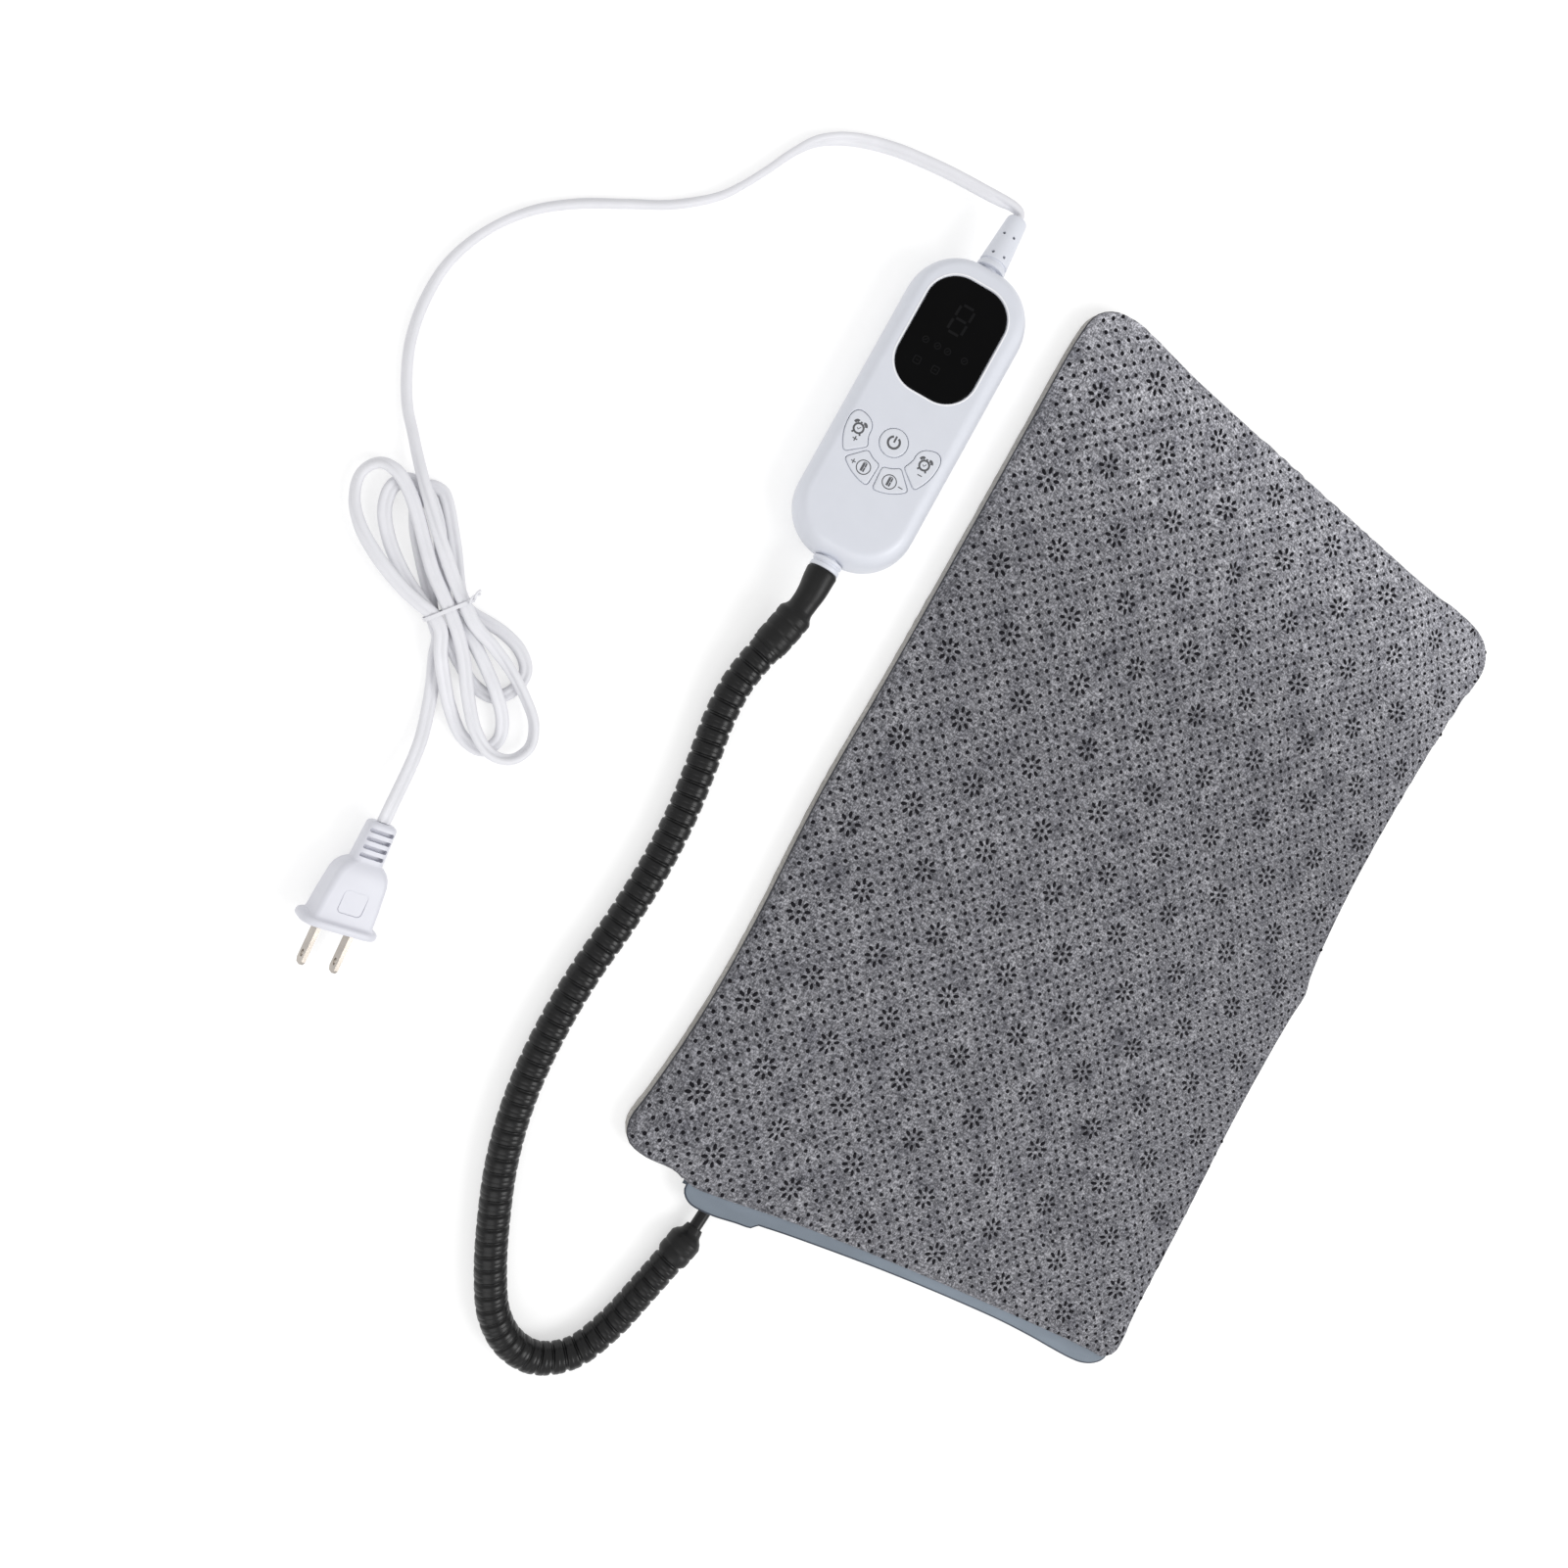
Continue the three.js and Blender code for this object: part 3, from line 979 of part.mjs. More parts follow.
// Flat cord sections: ten points with a groove for the runs, six points for the hank
const w = CORD_WIDTH / 2;
const t = CORD_THICK / 2;
const twinSection = [[w, -t / 2], [w, t / 2], [w * 0.6, t], [0, t - CORD_GROOVE], [-w * 0.6, t],
  [-w, t / 2], [-w, -t / 2], [-w * 0.6, -t], [0, CORD_GROOVE - t], [w * 0.6, -t]];
const hankSection = [[w, -t / 2], [w, t / 2], [0, t], [-w, t / 2], [-w, -t / 2], [0, -t]];

// Roll of a cord at a distance along it, through steps of [distance, degrees]
function rollThrough(steps) {
  return (s) => {
    const next = Math.max(1, steps.findIndex(([d], i) => d >= s || i === steps.length - 1));
    const [[d0, r0], [d1, r1]] = [steps[next - 1], steps[next]];
    return THREE.MathUtils.degToRad(THREE.MathUtils.mapLinear(THREE.MathUtils.clamp(s, d0, d1), d0, d1, r0, r1));
  };
}

// Hank: along is measured on its length from the waist, across at right angles to it
function onHank(along, across, z) {
  const angle = THREE.MathUtils.degToRad(HANK_ANGLE);
  const [c, s] = [Math.cos(angle), Math.sin(angle)];
  return at(HANK_X + c * along + s * across, HANK_Y + s * along - c * across, z);
}

// Rows of [x, y, z, roll] through three loops at each end, from the run of the cord down to the tail
const hankRows = [
  [-317, -43.6, 9.3, 0], [-312.2, -47.2, 9.3, 0], [-306.9, -50.9, 9.3, 0], [-297.2, -54.3, 8.1, 20],
  [-287, -58.8, 7.1, 45], [-276.7, -65.2, 6.3, 60], [-268.5, -72.6, 5.5, 65], [-265.4, -81.3, 5.1, 65],
  [-269.2, -88.7, 5.5, 60], [-277.4, -90.5, 6.7, 40], [-286.8, -85.5, 7.9, 15], [-295.8, -75.4, 8.3, 0],
  [-304.2, -63.7, 8.6, 0], [-311.2, -56.2, 9.3, 0], [-317.4, -50.8, 9.3, 0], [-322.2, -47.2, 9.3, 0],
  [-329.5, -41.4, 9, 0], [-336.4, -34.3, 8.1, 0], [-343.4, -26.9, 8.1, 0], [-350.1, -20.9, 8.2, 0],
  [-356.8, -17.2, 8.1, 10], [-363.1, -17.4, 6.6, 55], [-366.9, -23.6, 5.1, 65], [-364.9, -32.6, 5.1, 60],
  [-358.4, -40.6, 6.7, 35], [-348.2, -47.2, 8.3, 5], [-336.1, -52.2, 8.8, 0], [-327.4, -54.4, 9.3, 0],
  [-321, -55.6, 9.3, 0], [-316.2, -59.2, 9.3, 0], [-312.4, -66.1, 8.6, 0], [-306.5, -73.9, 6.6, 0],
  [-298.7, -82.8, 4.5, 0], [-289, -90.1, 2.5, 0], [-280, -91, 1.8, 0], [-276.6, -84.7, 1.8, 0],
  [-279.2, -77.4, 3.5, 0], [-286.6, -69.4, 5.4, 0], [-295.2, -62.5, 5.6, 0], [-304.6, -56.3, 6.1, 0],
  [-311.8, -53.4, 6.1, 0], [-316.9, -50.2, 6, 0], [-321.7, -46.6, 6, 0], [-326.4, -38.5, 5.6, 0],
  [-331.9, -30.4, 4.9, 0], [-337.8, -23.1, 4.9, 0], [-345.1, -17.4, 4.9, 0], [-351.8, -17, 4.9, 0],
  [-355.6, -22.1, 4.9, 0], [-354.3, -30.4, 4.9, 0], [-347.8, -39.3, 4.9, 0], [-338.6, -46.8, 5.1, 0],
  [-328.5, -52.5, 5.8, 0], [-321, -55.6, 6, 0], [-315.8, -58.7, 6, 0], [-309.3, -62.6, 5.6, 0],
  [-302.7, -66.7, 3.7, 0], [-295.1, -70.7, 1.7, 0], [-286.4, -71.1, 1.7, 0], [-281.1, -64.9, 1.7, 0],
  [-280.7, -56.2, 1.7, 0], [-286.6, -50.4, 1.7, 0], [-294.9, -47.8, 1.7, 0], [-303, -47.4, 2.4, 0],
  [-308.8, -47.4, 2.8, 0], [-313.8, -46, 2.8, 0], [-318.6, -40.4, 2.6, 0], [-325.1, -30.9, 1.7, 0],
  [-331.2, -23, 1.7, 0], [-336.6, -16.6, 1.7, 0], [-339.8, -14.1, 1.7, 0], [-344, -14.6, 1.7, 0],
  [-346.4, -18, 1.7, 0], [-345.7, -22.2, 1.7, 0], [-341.4, -30.5, 1.7, 0], [-333.7, -40.1, 1.9, 0],
  [-326.8, -48, 2.6, 0], [-321, -55.6, 2.8, 0], [-317.4, -59.2, 2.6, 0],
];
const hankRoute = splineThrough(hankRows.map(([x, y, z]) => at(x, y, z)));
const hankPoints = hankRoute.getPoints(2 * (hankRows.length - 1));
let hankLength = 0;
const hankRolls = [];
hankPoints.forEach((p, i) => {
  if (i > 0) hankLength += p.distanceTo(hankPoints[i - 1]);
  if (i % 2 === 0) hankRolls.push([hankLength, hankRows[i / 2][3]]);
});
const hank = sweep(hankPoints, hankSection, rollThrough(hankRolls));
addPiece('mains_hank', hank, WHITE_CORD);

// Least gap of the hank to itself: each step of it is a block between two rings of corner points, and two blocks lie
// apart by the widest slot that a direction shows between their points
const hankCorners = hank.getAttribute('position');
const hankBlocks = hankPoints.slice(1).map((_, i) => Array.from({ length: 2 * hankSection.length },
  (__, k) => new THREE.Vector3().fromBufferAttribute(hankCorners, i * hankSection.length + k)));
function slotBetween(a, b, way) {
  const width = (n) => Math.min(...b.map((p) => p.dot(n))) - Math.max(...a.map((p) => p.dot(n)));
  let best = way.clone().normalize();
  let widest = width(best);
  for (let turn = 0.5; turn > 0.01; turn /= 1.6) {
    for (const [x, y, z] of [[1, 0, 0], [-1, 0, 0], [0, 1, 0], [0, -1, 0], [0, 0, 1], [0, 0, -1]]) {
      const tried = at(x, y, z).multiplyScalar(turn).add(best).normalize();
      if (width(tried) > widest) {
        widest = width(tried);
        best = tried;
      }
    }
  }
  return widest;
}
let leastGap = Infinity;
hankPoints.slice(1).forEach((p, i) => {
  let apart = 0;
  for (let k = i + 1; k < hankBlocks.length; k++) {
    apart += hankPoints[k + 1].distanceTo(hankPoints[k]);
    const way = hankPoints[k + 1].clone().sub(p);
    if (apart < 4 * CORD_WIDTH || way.length() > 3 * CORD_WIDTH) continue;
    leastGap = Math.min(leastGap, Math.max(...[way, at(0, 0, 1), at(0, 0, -1)].map((n) => slotBetween(hankBlocks[i], hankBlocks[k], n))));
  }
});
console.log(`least gap of the hank to itself: ${leastGap.toFixed(2)} mm`);

// Run of the cord from the boot, leaning on its edge on the surface, then over the hank's upper end to the waist
const REST_Z = CORD_WIDTH / 2 + FLOOR_GAP;
const bootTip = controller.localToWorld(at(0, CASE_LENGTH / 2 + BOOT_LENGTH + FIT, CORD_Z));
const cordRoute = splineThrough([
  bootTip, bootTip.clone().addScaledVector(caseAxis, CORD_THICK / 2),
  at(-203.3, 207.3, 17), at(-206.3, 207.6, 16.8), at(-212.1, 206.6, 16), at(-217.5, 205.8, 14.9),
  at(-225.3, 205, 12.9), at(-235.6, 203.9, 10), at(-245.5, 202.3, 7.2), at(-255.3, 200.2, 4.7), at(-264.5, 197, 2.9),
  at(-272.8, 192.7, 2.4), at(-280, 187.4, 2.6), at(-286.7, 180.5, REST_Z), at(-292.2, 170.6, REST_Z),
  at(-296.8, 159.6, REST_Z), at(-301.8, 149, REST_Z), at(-307.6, 139.2, REST_Z), at(-320.7, 125.4, REST_Z),
  at(-335.5, 114.3, REST_Z), at(-349.8, 103.4, REST_Z), at(-362.4, 90.6, REST_Z), at(-372.3, 74, REST_Z),
  at(-377.5, 56.8, REST_Z), at(-377.7, 40, REST_Z), at(-374.9, 25.6, REST_Z), at(-369.6, 13.2, 2.8), at(-364.4, 4.6, 3.4),
  at(-359.3, -1.5, 4.9), at(-353.6, -8.4, 7.1), at(-348, -14.8, 9.3), at(-341.5, -21.4, 9.6), at(-334.8, -28.1, 9.5),
  at(-327.8, -34.6, 9.4),
  onHank(HANK_LEAD + CORD_WIDTH, HANK_SIDE, HANK_HIGH), onHank(HANK_LEAD + FIT, HANK_SIDE, HANK_HIGH),
]);
const cordPoints = cordRoute.getPoints(84);
const cordLength = cordRoute.getLength();
const cordRoll = rollThrough([[0, 90], [5, 90], [16, 150], [76, 155], [104, 92], [130, 85], [155, 62], [195, 54], [230, 76],
  [270, 63], [cordLength - 60, 65], [cordLength - 43, 56], [cordLength - 24, 30], [cordLength - 6, 0], [cordLength, 0]]);
addPiece('mains_cord', sweep(cordPoints, twinSection, cordRoll), WHITE_CORD);

// Tail of the cord, flat, from the hank's lowest layer to the plug's neck
const plugAxis = at(0, 1, 0).applyQuaternion(plug.quaternion);
const neckTop = plug.localToWorld(at(0, 0, 0));
const hankEnd = hankPoints[hankPoints.length - 1];
const hankWay = tangents(hankPoints)[hankPoints.length - 1];
const tailRoute = splineThrough([
  hankEnd.clone().addScaledVector(hankWay, FIT), hankEnd.clone().addScaledVector(hankWay, CORD_THICK),
  at(-312.8, -68.2, 1.8), at(-309, -76.8, 1.8), at(-305.9, -85.2, 2.5), at(-301.9, -100.6, 5.4),
  neckTop.clone().addScaledVector(plugAxis, -CORD_WIDTH - FIT), neckTop.clone().addScaledVector(plugAxis, -FIT),
]);
const tailLength = tailRoute.getLength();
addPiece('mains_cord_tail', sweep(tailRoute.getPoints(20), twinSection,
  (s) => -plugRoll * smooth(s, 20, tailLength - 12)), WHITE_CORD);

// Twist tie round the hank's waist, with its two ends twisted together and stood up
const TIE_LOW = HANK_LOW - CORD_THICK / 2 - FIT;
const TIE_HIGH = HANK_HIGH + CORD_THICK / 2 + FIT;
const TIE_RIGHT = HANK_SIDE + CORD_WIDTH / 2 + 3 * FIT;
const TIE_LEFT = -TIE_RIGHT;
const tieRing = (grow, corner) => roundedRing((TIE_RIGHT - TIE_LEFT) / 2 + grow,
  (TIE_HIGH - TIE_LOW) / 2 + grow, corner + grow, 3)
  .map((p) => new THREE.Vector2(p.x + (TIE_LEFT + TIE_RIGHT) / 2, p.y + (TIE_LOW + TIE_HIGH) / 2));
const TIE_CORNER = 1.6;
const tieTail = block(-TIE_WIDTH / 2, TIE_WIDTH / 2, -TIE_THICK, TIE_THICK, TIE_THICK / 2, TIE_TAIL)
  .rotateX(0.9).translate(0, TIE_RIGHT * 0.55, TIE_HIGH + TIE_THICK / 2);
const tie = combine([
  barAlongX(tieRing(TIE_THICK, TIE_CORNER), -TIE_WIDTH / 2, TIE_WIDTH / 2, [tieRing(0, TIE_CORNER)]),
  tieTail,
]);
const hankTurn = new THREE.Matrix4().makeRotationZ(THREE.MathUtils.degToRad(HANK_ANGLE))
  .multiply(new THREE.Matrix4().makeScale(1, -1, 1)).setPosition(HANK_X, HANK_Y, 0);
addPiece('twist_tie', tie.applyMatrix4(hankTurn), WHITE_CORD);

// Plug: a slotted neck, a swelling grip and a flange, revolved square about its own axis +Y
const FLANGE_FROM = PLUG_NECK + PLUG_BODY;
const PLUG_FACE = FLANGE_FROM + FLANGE_THICK;
function plugRing(y, width, thick, corner) {
  return roundedRing(width / 2, thick / 2, corner, 3).map((p) => at(p.x, y, p.y));
}
const plugSkin = loft([
  plugRing(0, NECK_WIDTH - 1, NECK_THICK - 1, 3),
  plugRing(1, NECK_WIDTH, NECK_THICK, 3),
  plugRing(PLUG_NECK, NECK_WIDTH + 1.2, NECK_THICK + 0.8, 3),
  plugRing(PLUG_NECK + 0.8, BODY_WIDTH - 3, BODY_THICK - 2, 4),
  plugRing(PLUG_NECK + 3, BODY_WIDTH, BODY_THICK, 4.5),
  plugRing(FLANGE_FROM, BODY_END_WIDTH, BODY_END_THICK, 5),
  plugRing(FLANGE_FROM + 0.3, FLANGE_WIDTH - 1, FLANGE_HEIGHT - 1, 6),
  plugRing(FLANGE_FROM + 0.9, FLANGE_WIDTH, FLANGE_HEIGHT, FLANGE_CORNER),
  plugRing(PLUG_FACE, FLANGE_WIDTH, FLANGE_HEIGHT, FLANGE_CORNER),
]);
const neckSlots = [];
for (let i = 0; i < NECK_SLOTS; i++) {
  const y = (PLUG_NECK * (i + 1)) / (NECK_SLOTS + 1);
  [-1, 1].forEach((side) => neckSlots.push(block(-NECK_WIDTH, NECK_WIDTH, y - NECK_SLOT / 2, y + NECK_SLOT / 2,
    0, NECK_THICK).translate(0, 0, side > 0 ? NECK_THICK / 2 - NECK_SLOT_DEPTH
    : -NECK_THICK * 1.5 + NECK_SLOT_DEPTH)));
}
const panelOutline = roundedRing(PANEL_WIDTH / 2, PANEL_LENGTH / 2, 2.5, 3)
  .map((p) => new THREE.Vector2(p.x, p.y + PLUG_NECK + PLUG_BODY / 2 + 1));
const panelCut = plate(panelOutline, (BODY_THICK + BODY_END_THICK) / 4 - PANEL_DEPTH, BODY_END_THICK);
const bladeSlot = (side) => block(-BLADE_THICK / 2 - FIT, BLADE_THICK / 2 + FIT, PLUG_FACE - BLADE_SEAT - FIT,
  PLUG_FACE + 1, -BLADE_WIDTH / 2 - FIT, BLADE_WIDTH / 2 + FIT).translate((side * BLADE_GAP) / 2, 0, 0);
addPiece('plug_body', combine([plugSkin], [...neckSlots, panelCut, bladeSlot(-1), bladeSlot(1)]), WHITE_CORD, plug);

const BLADE_ROOT = PLUG_FACE - BLADE_SEAT;
const BLADE_END = PLUG_FACE + BLADE_OUT;
const half = BLADE_WIDTH / 2;
const bladeOutline = [[BLADE_ROOT, -half], [BLADE_END - BLADE_TIP, -half], [BLADE_END, -half + BLADE_TIP],
  [BLADE_END, half - BLADE_TIP], [BLADE_END - BLADE_TIP, half], [BLADE_ROOT, half]]
  .map(([y, z]) => new THREE.Vector2(y, z));
const bladeHole = circleSection(BLADE_HOLE_D, 10)
  .map(([a, b]) => new THREE.Vector2(BLADE_END - BLADE_HOLE_FROM_TIP + a, b));
[['plug_blade_left', 1], ['plug_blade_right', -1]].forEach(([name, side]) => {
  const blade = barAlongX(bladeOutline, -BLADE_THICK / 2, BLADE_THICK / 2, [bladeHole]);
  addPiece(name, blade.translate((side * BLADE_GAP) / 2, 0, 0), NICKEL, plug);
});

export default part;
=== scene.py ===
import math

import bmesh
import bpy
import numpy as np
from mathutils import Matrix, Vector, noise
from mathutils.bvhtree import BVHTree


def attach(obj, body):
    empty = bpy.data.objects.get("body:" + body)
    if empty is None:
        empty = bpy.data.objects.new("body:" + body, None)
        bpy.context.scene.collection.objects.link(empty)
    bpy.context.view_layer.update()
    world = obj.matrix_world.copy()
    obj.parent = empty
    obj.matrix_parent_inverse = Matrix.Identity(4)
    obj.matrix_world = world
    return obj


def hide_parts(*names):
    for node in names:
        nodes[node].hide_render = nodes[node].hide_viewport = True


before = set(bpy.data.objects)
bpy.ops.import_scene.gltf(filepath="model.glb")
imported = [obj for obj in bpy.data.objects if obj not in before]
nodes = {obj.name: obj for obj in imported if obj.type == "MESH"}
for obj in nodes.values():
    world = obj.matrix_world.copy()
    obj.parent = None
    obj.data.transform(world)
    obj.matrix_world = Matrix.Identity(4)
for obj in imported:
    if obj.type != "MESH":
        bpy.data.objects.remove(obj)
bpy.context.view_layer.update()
scene = bpy.context.scene
scene.view_settings.view_transform = "Standard"
BODY = "pad_and_controller"
MM = 0.001


def new_object(name, data):
    made = bpy.data.objects.new(name, data)
    scene.collection.objects.link(made)
    return made


# --- camera
RIGHT = Vector((0.7932, 0.4903, 0.3612))
DOWN = Vector((0.4678, -0.8703, 0.1540))
FORWARD = Vector((0.3899, 0.0468, -0.9197))
EYE = Vector((-0.3656, -0.0674, 0.4799))
IMAGE, FOCAL = 1601, 1250  # pixels
SENSOR = 36
lens = bpy.data.cameras.new("camera")
lens.sensor_width = SENSOR
lens.lens = SENSOR * FOCAL / IMAGE
lens.clip_start = 0.01
camera = new_object("camera", lens)
camera.matrix_world = Matrix.Translation(EYE) @ Matrix((RIGHT, -DOWN, -FORWARD)).transposed().to_4x4()
scene.camera = camera


# --- materials
def connect(tree, socket, value):
    """Links a socket to another one, or gives it a plain value."""
    if isinstance(value, bpy.types.NodeSocket):
        tree.links.new(value, socket)
    else:
        socket.default_value = value


def feed(tree, node, **inputs):
    """Connects a node's sockets by their names and returns its outputs."""
    for name, value in inputs.items():
        connect(tree, node.inputs[name.replace("_", " ")], value)
    return node.outputs


def add_node(tree, kind, **inputs):
    return feed(tree, tree.nodes.new("ShaderNode" + kind), **inputs)


def new_material(name, roughness, metallic=0.0, **sockets):
    """A principled material with plain sockets, its node tree and its shader."""
    made = bpy.data.materials.new(name)
    made.use_nodes = True
    shader = made.node_tree.nodes["Principled BSDF"]
    feed(made.node_tree, shader, Roughness=roughness, Metallic=metallic, **sockets)
    return made, made.node_tree, shader


def noise_node(tree, size, detail=3.0, stretch=(1, 1, 1), turn=0.0, rough=0.55):
    """Noise whose features are about `size` mm across, stretched along the axes after a turn about Z."""
    coords = add_node(tree, "TexCoord")["Object"]
    mapped = add_node(tree, "Mapping", Vector=coords, Rotation=(0, 0, turn), Scale=stretch)["Vector"]
    return add_node(tree, "TexNoise", Vector=mapped, Scale=1 / (size * MM), Detail=detail, Roughness=rough)["Fac"]


def ramp(tree, factor, stops):
    """Colours at places along a factor, where a plain number stands for a grey."""
    node = tree.nodes.new("ShaderNodeValToRGB")
    elements = node.color_ramp.elements
    while len(elements) < len(stops):
        elements.new(0.5)
    for element, (place, colour) in zip(elements, stops):
        element.position = place
        element.color = (*np.broadcast_to(colour, 3), 1)
    return feed(tree, node, Fac=factor)["Color"]


def multiply(tree, a, b):
    node = tree.nodes.new("ShaderNodeMix")
    node.data_type, node.blend_type = "RGBA", "MULTIPLY"
    return feed(tree, node, Factor=1, A=a, B=b)["Result"]


def math_node(tree, operation, *values):
    node = tree.nodes.new("ShaderNodeMath")
    node.operation = operation
    for socket, value in zip(node.inputs, values):
        connect(tree, socket, value)
    return node.outputs["Value"]


def bump(tree, shader, height, depth, strength):
    """Bump of about `depth` mm from a height between 0 and 1."""
    feed(tree, shader, Normal=add_node(tree, "Bump", Strength=strength, Distance=depth * MM, Height=height)["Normal"])


def spread(colour, share):
    return tuple(min(1.0, c * (1 + share)) for c in colour)


def moulded(name, colour, roughness, grain, depth, cloud, specular=0.5):
    """Moulded plastic: a fine spark-eroded grain, a faint cloud in colour and gloss."""
    made, tree, shader = new_material(name, roughness, Specular_IOR_Level=specular)
    cloudy = ramp(tree, noise_node(tree, 9, 2), [(0.3, spread(colour, -cloud)), (0.7, spread(colour, cloud))])
    gloss = add_node(tree, "MapRange", Value=noise_node(tree, 4, 4), To_Min=roughness - 0.06, To_Max=roughness + 0.08)
    feed(tree, shader, Base_Color=cloudy, Roughness=gloss["Result"])
    bump(tree, shader, noise_node(tree, grain, 2), depth, 0.5)
    return made


def metal(name, colour, roughness, stretch):
    """Plated sheet metal with drawing marks along it and a slight tarnish."""
    made, tree, shader = new_material(name, roughness, 1.0)
    tarnish = ramp(tree, noise_node(tree, 5, 3), [(0.25, spread(colour, -0.14)), (0.75, spread(colour, 0.06))])
    feed(tree, shader, Base_Color=tarnish)
    bump(tree, shader, noise_node(tree, 1.2, 3, stretch), 0.03, 0.35)
    return made


def felt_material():
    """Needled grey felt: salt-and-pepper fibres over dark and light blotches of nap, with painted light that makes it
    lighter towards the far end.
    """
    made, tree, shader = new_material("grey_felt", 0.95, Sheen_Weight=0.12, Sheen_Roughness=0.6,
                                      Sheen_Tint=(0.8, 0.82, 0.9, 1), Specular_IOR_Level=0.12)
    nap = noise_node(tree, 13, 4, (1.0, 0.7, 1), math.radians(38), 0.65)
    base = ramp(tree, nap, [(0.28, (0.122, 0.122, 0.139)), (0.45, (0.196, 0.196, 0.214)),
                            (0.72, (0.272, 0.271, 0.290))])
    # Painted light: the colour is scaled from darker at the near end to lighter at the far end along Y, for light
    # falling from the far side
    along = add_node(tree, "SeparateXYZ", Vector=add_node(tree, "TexCoord")["Object"])["Y"]
    share = math_node(tree, "MULTIPLY_ADD", along, 2.4, 0.5)
    far = ramp(tree, share, [(0.70, 0.83), (0.86, 1.08), (0.99, 1.5)])
    fibres = noise_node(tree, 2.3, 3, (1, 2.2, 1), math.radians(20), 0.72)
    lint = noise_node(tree, 1.5, 3, (2.4, 1, 1), math.radians(-30), 0.72)
    both = math_node(tree, "ADD", *(math_node(tree, "MULTIPLY", layer, 0.5) for layer in (fibres, lint)))
    speck = ramp(tree, both, [(0.395, (0.24, 0.24, 0.26)), (0.5, 0.88), (0.605, 2.3)])
    feed(tree, shader, Base_Color=multiply(tree, multiply(tree, base, speck), far))
    bump(tree, shader, both, 0.8, 0.9)
    return made


def plush_material():
    """Short-pile plush: fine tufts with a brushed direction."""
    made, tree, shader = new_material("plush", 0.95, Sheen_Weight=0.35, Sheen_Roughness=0.5,
                                      Sheen_Tint=(1, 0.98, 0.95, 1), Specular_IOR_Level=0.1)
    brushed = noise_node(tree, 22, 3, (1, 0.5, 1), 0.4)
    base = ramp(tree, brushed, [(0.3, (0.36, 0.345, 0.325)), (0.7, (0.52, 0.505, 0.48))])
    tufts = noise_node(tree, 1.1, 4, (1, 1, 1), 0, 0.7)
    shade = ramp(tree, tufts, [(0.3, 0.62), (0.6, 1.08)])
    feed(tree, shader, Base_Color=multiply(tree, base, shade))
    bump(tree, shader, tufts, 0.8, 0.8)
    return made


WAVE_LENGTH = 0.314  # of a wave texture at scale 1, in metres


def woven_material(name, colour, pitch):
    """Narrow woven tape: fine ribs across and threads along."""
    made, tree, shader = new_material(name, 0.62, Sheen_Weight=0.2, Sheen_Roughness=0.4, Specular_IOR_Level=0.3)
    coords = add_node(tree, "TexCoord")["Object"]
    waves = []
    for axis in ("X", "Y"):
        wave = tree.nodes.new("ShaderNodeTexWave")
        wave.bands_direction = axis
        waves.append(feed(tree, wave, Vector=coords, Scale=WAVE_LENGTH / (pitch * MM), Distortion=0.6, Detail=1,
                          Detail_Scale=40)["Fac"])
    weave = math_node(tree, "MULTIPLY", *waves)
    streaks = noise_node(tree, 14, 3, (0.3, 1, 1))
    shade = ramp(tree, streaks, [(0.3, spread(colour, -0.16)), (0.7, spread(colour, 0.12))])
    threads = ramp(tree, weave, [(0.0, 0.86), (0.7, 1.04)])
    feed(tree, shader, Base_Color=multiply(tree, shade, threads))
    bump(tree, shader, weave, 0.12, 0.6)
    return made


FINISH = {
    "grey_felt": felt_material(),
    "plush": plush_material(),
    "slate_tape": woven_material("slate_tape", (0.205, 0.243, 0.290), 0.5),
    # Dark edge of the flap: partly a darker hem, partly painted shade for the shadow line along the edge
    "tape_hem_and_edge_shade": woven_material("tape_hem_and_edge_shade", (0.050, 0.062, 0.085), 0.4),
    "seam_thread": woven_material("seam_thread", (0.075, 0.075, 0.085), 0.4),
    "zip_metal": metal("zip_metal", (0.115, 0.125, 0.145), 0.34, (1, 6, 6)),
    "nickel": metal("nickel", (0.440, 0.400, 0.360), 0.27, (6, 1, 6)),
}
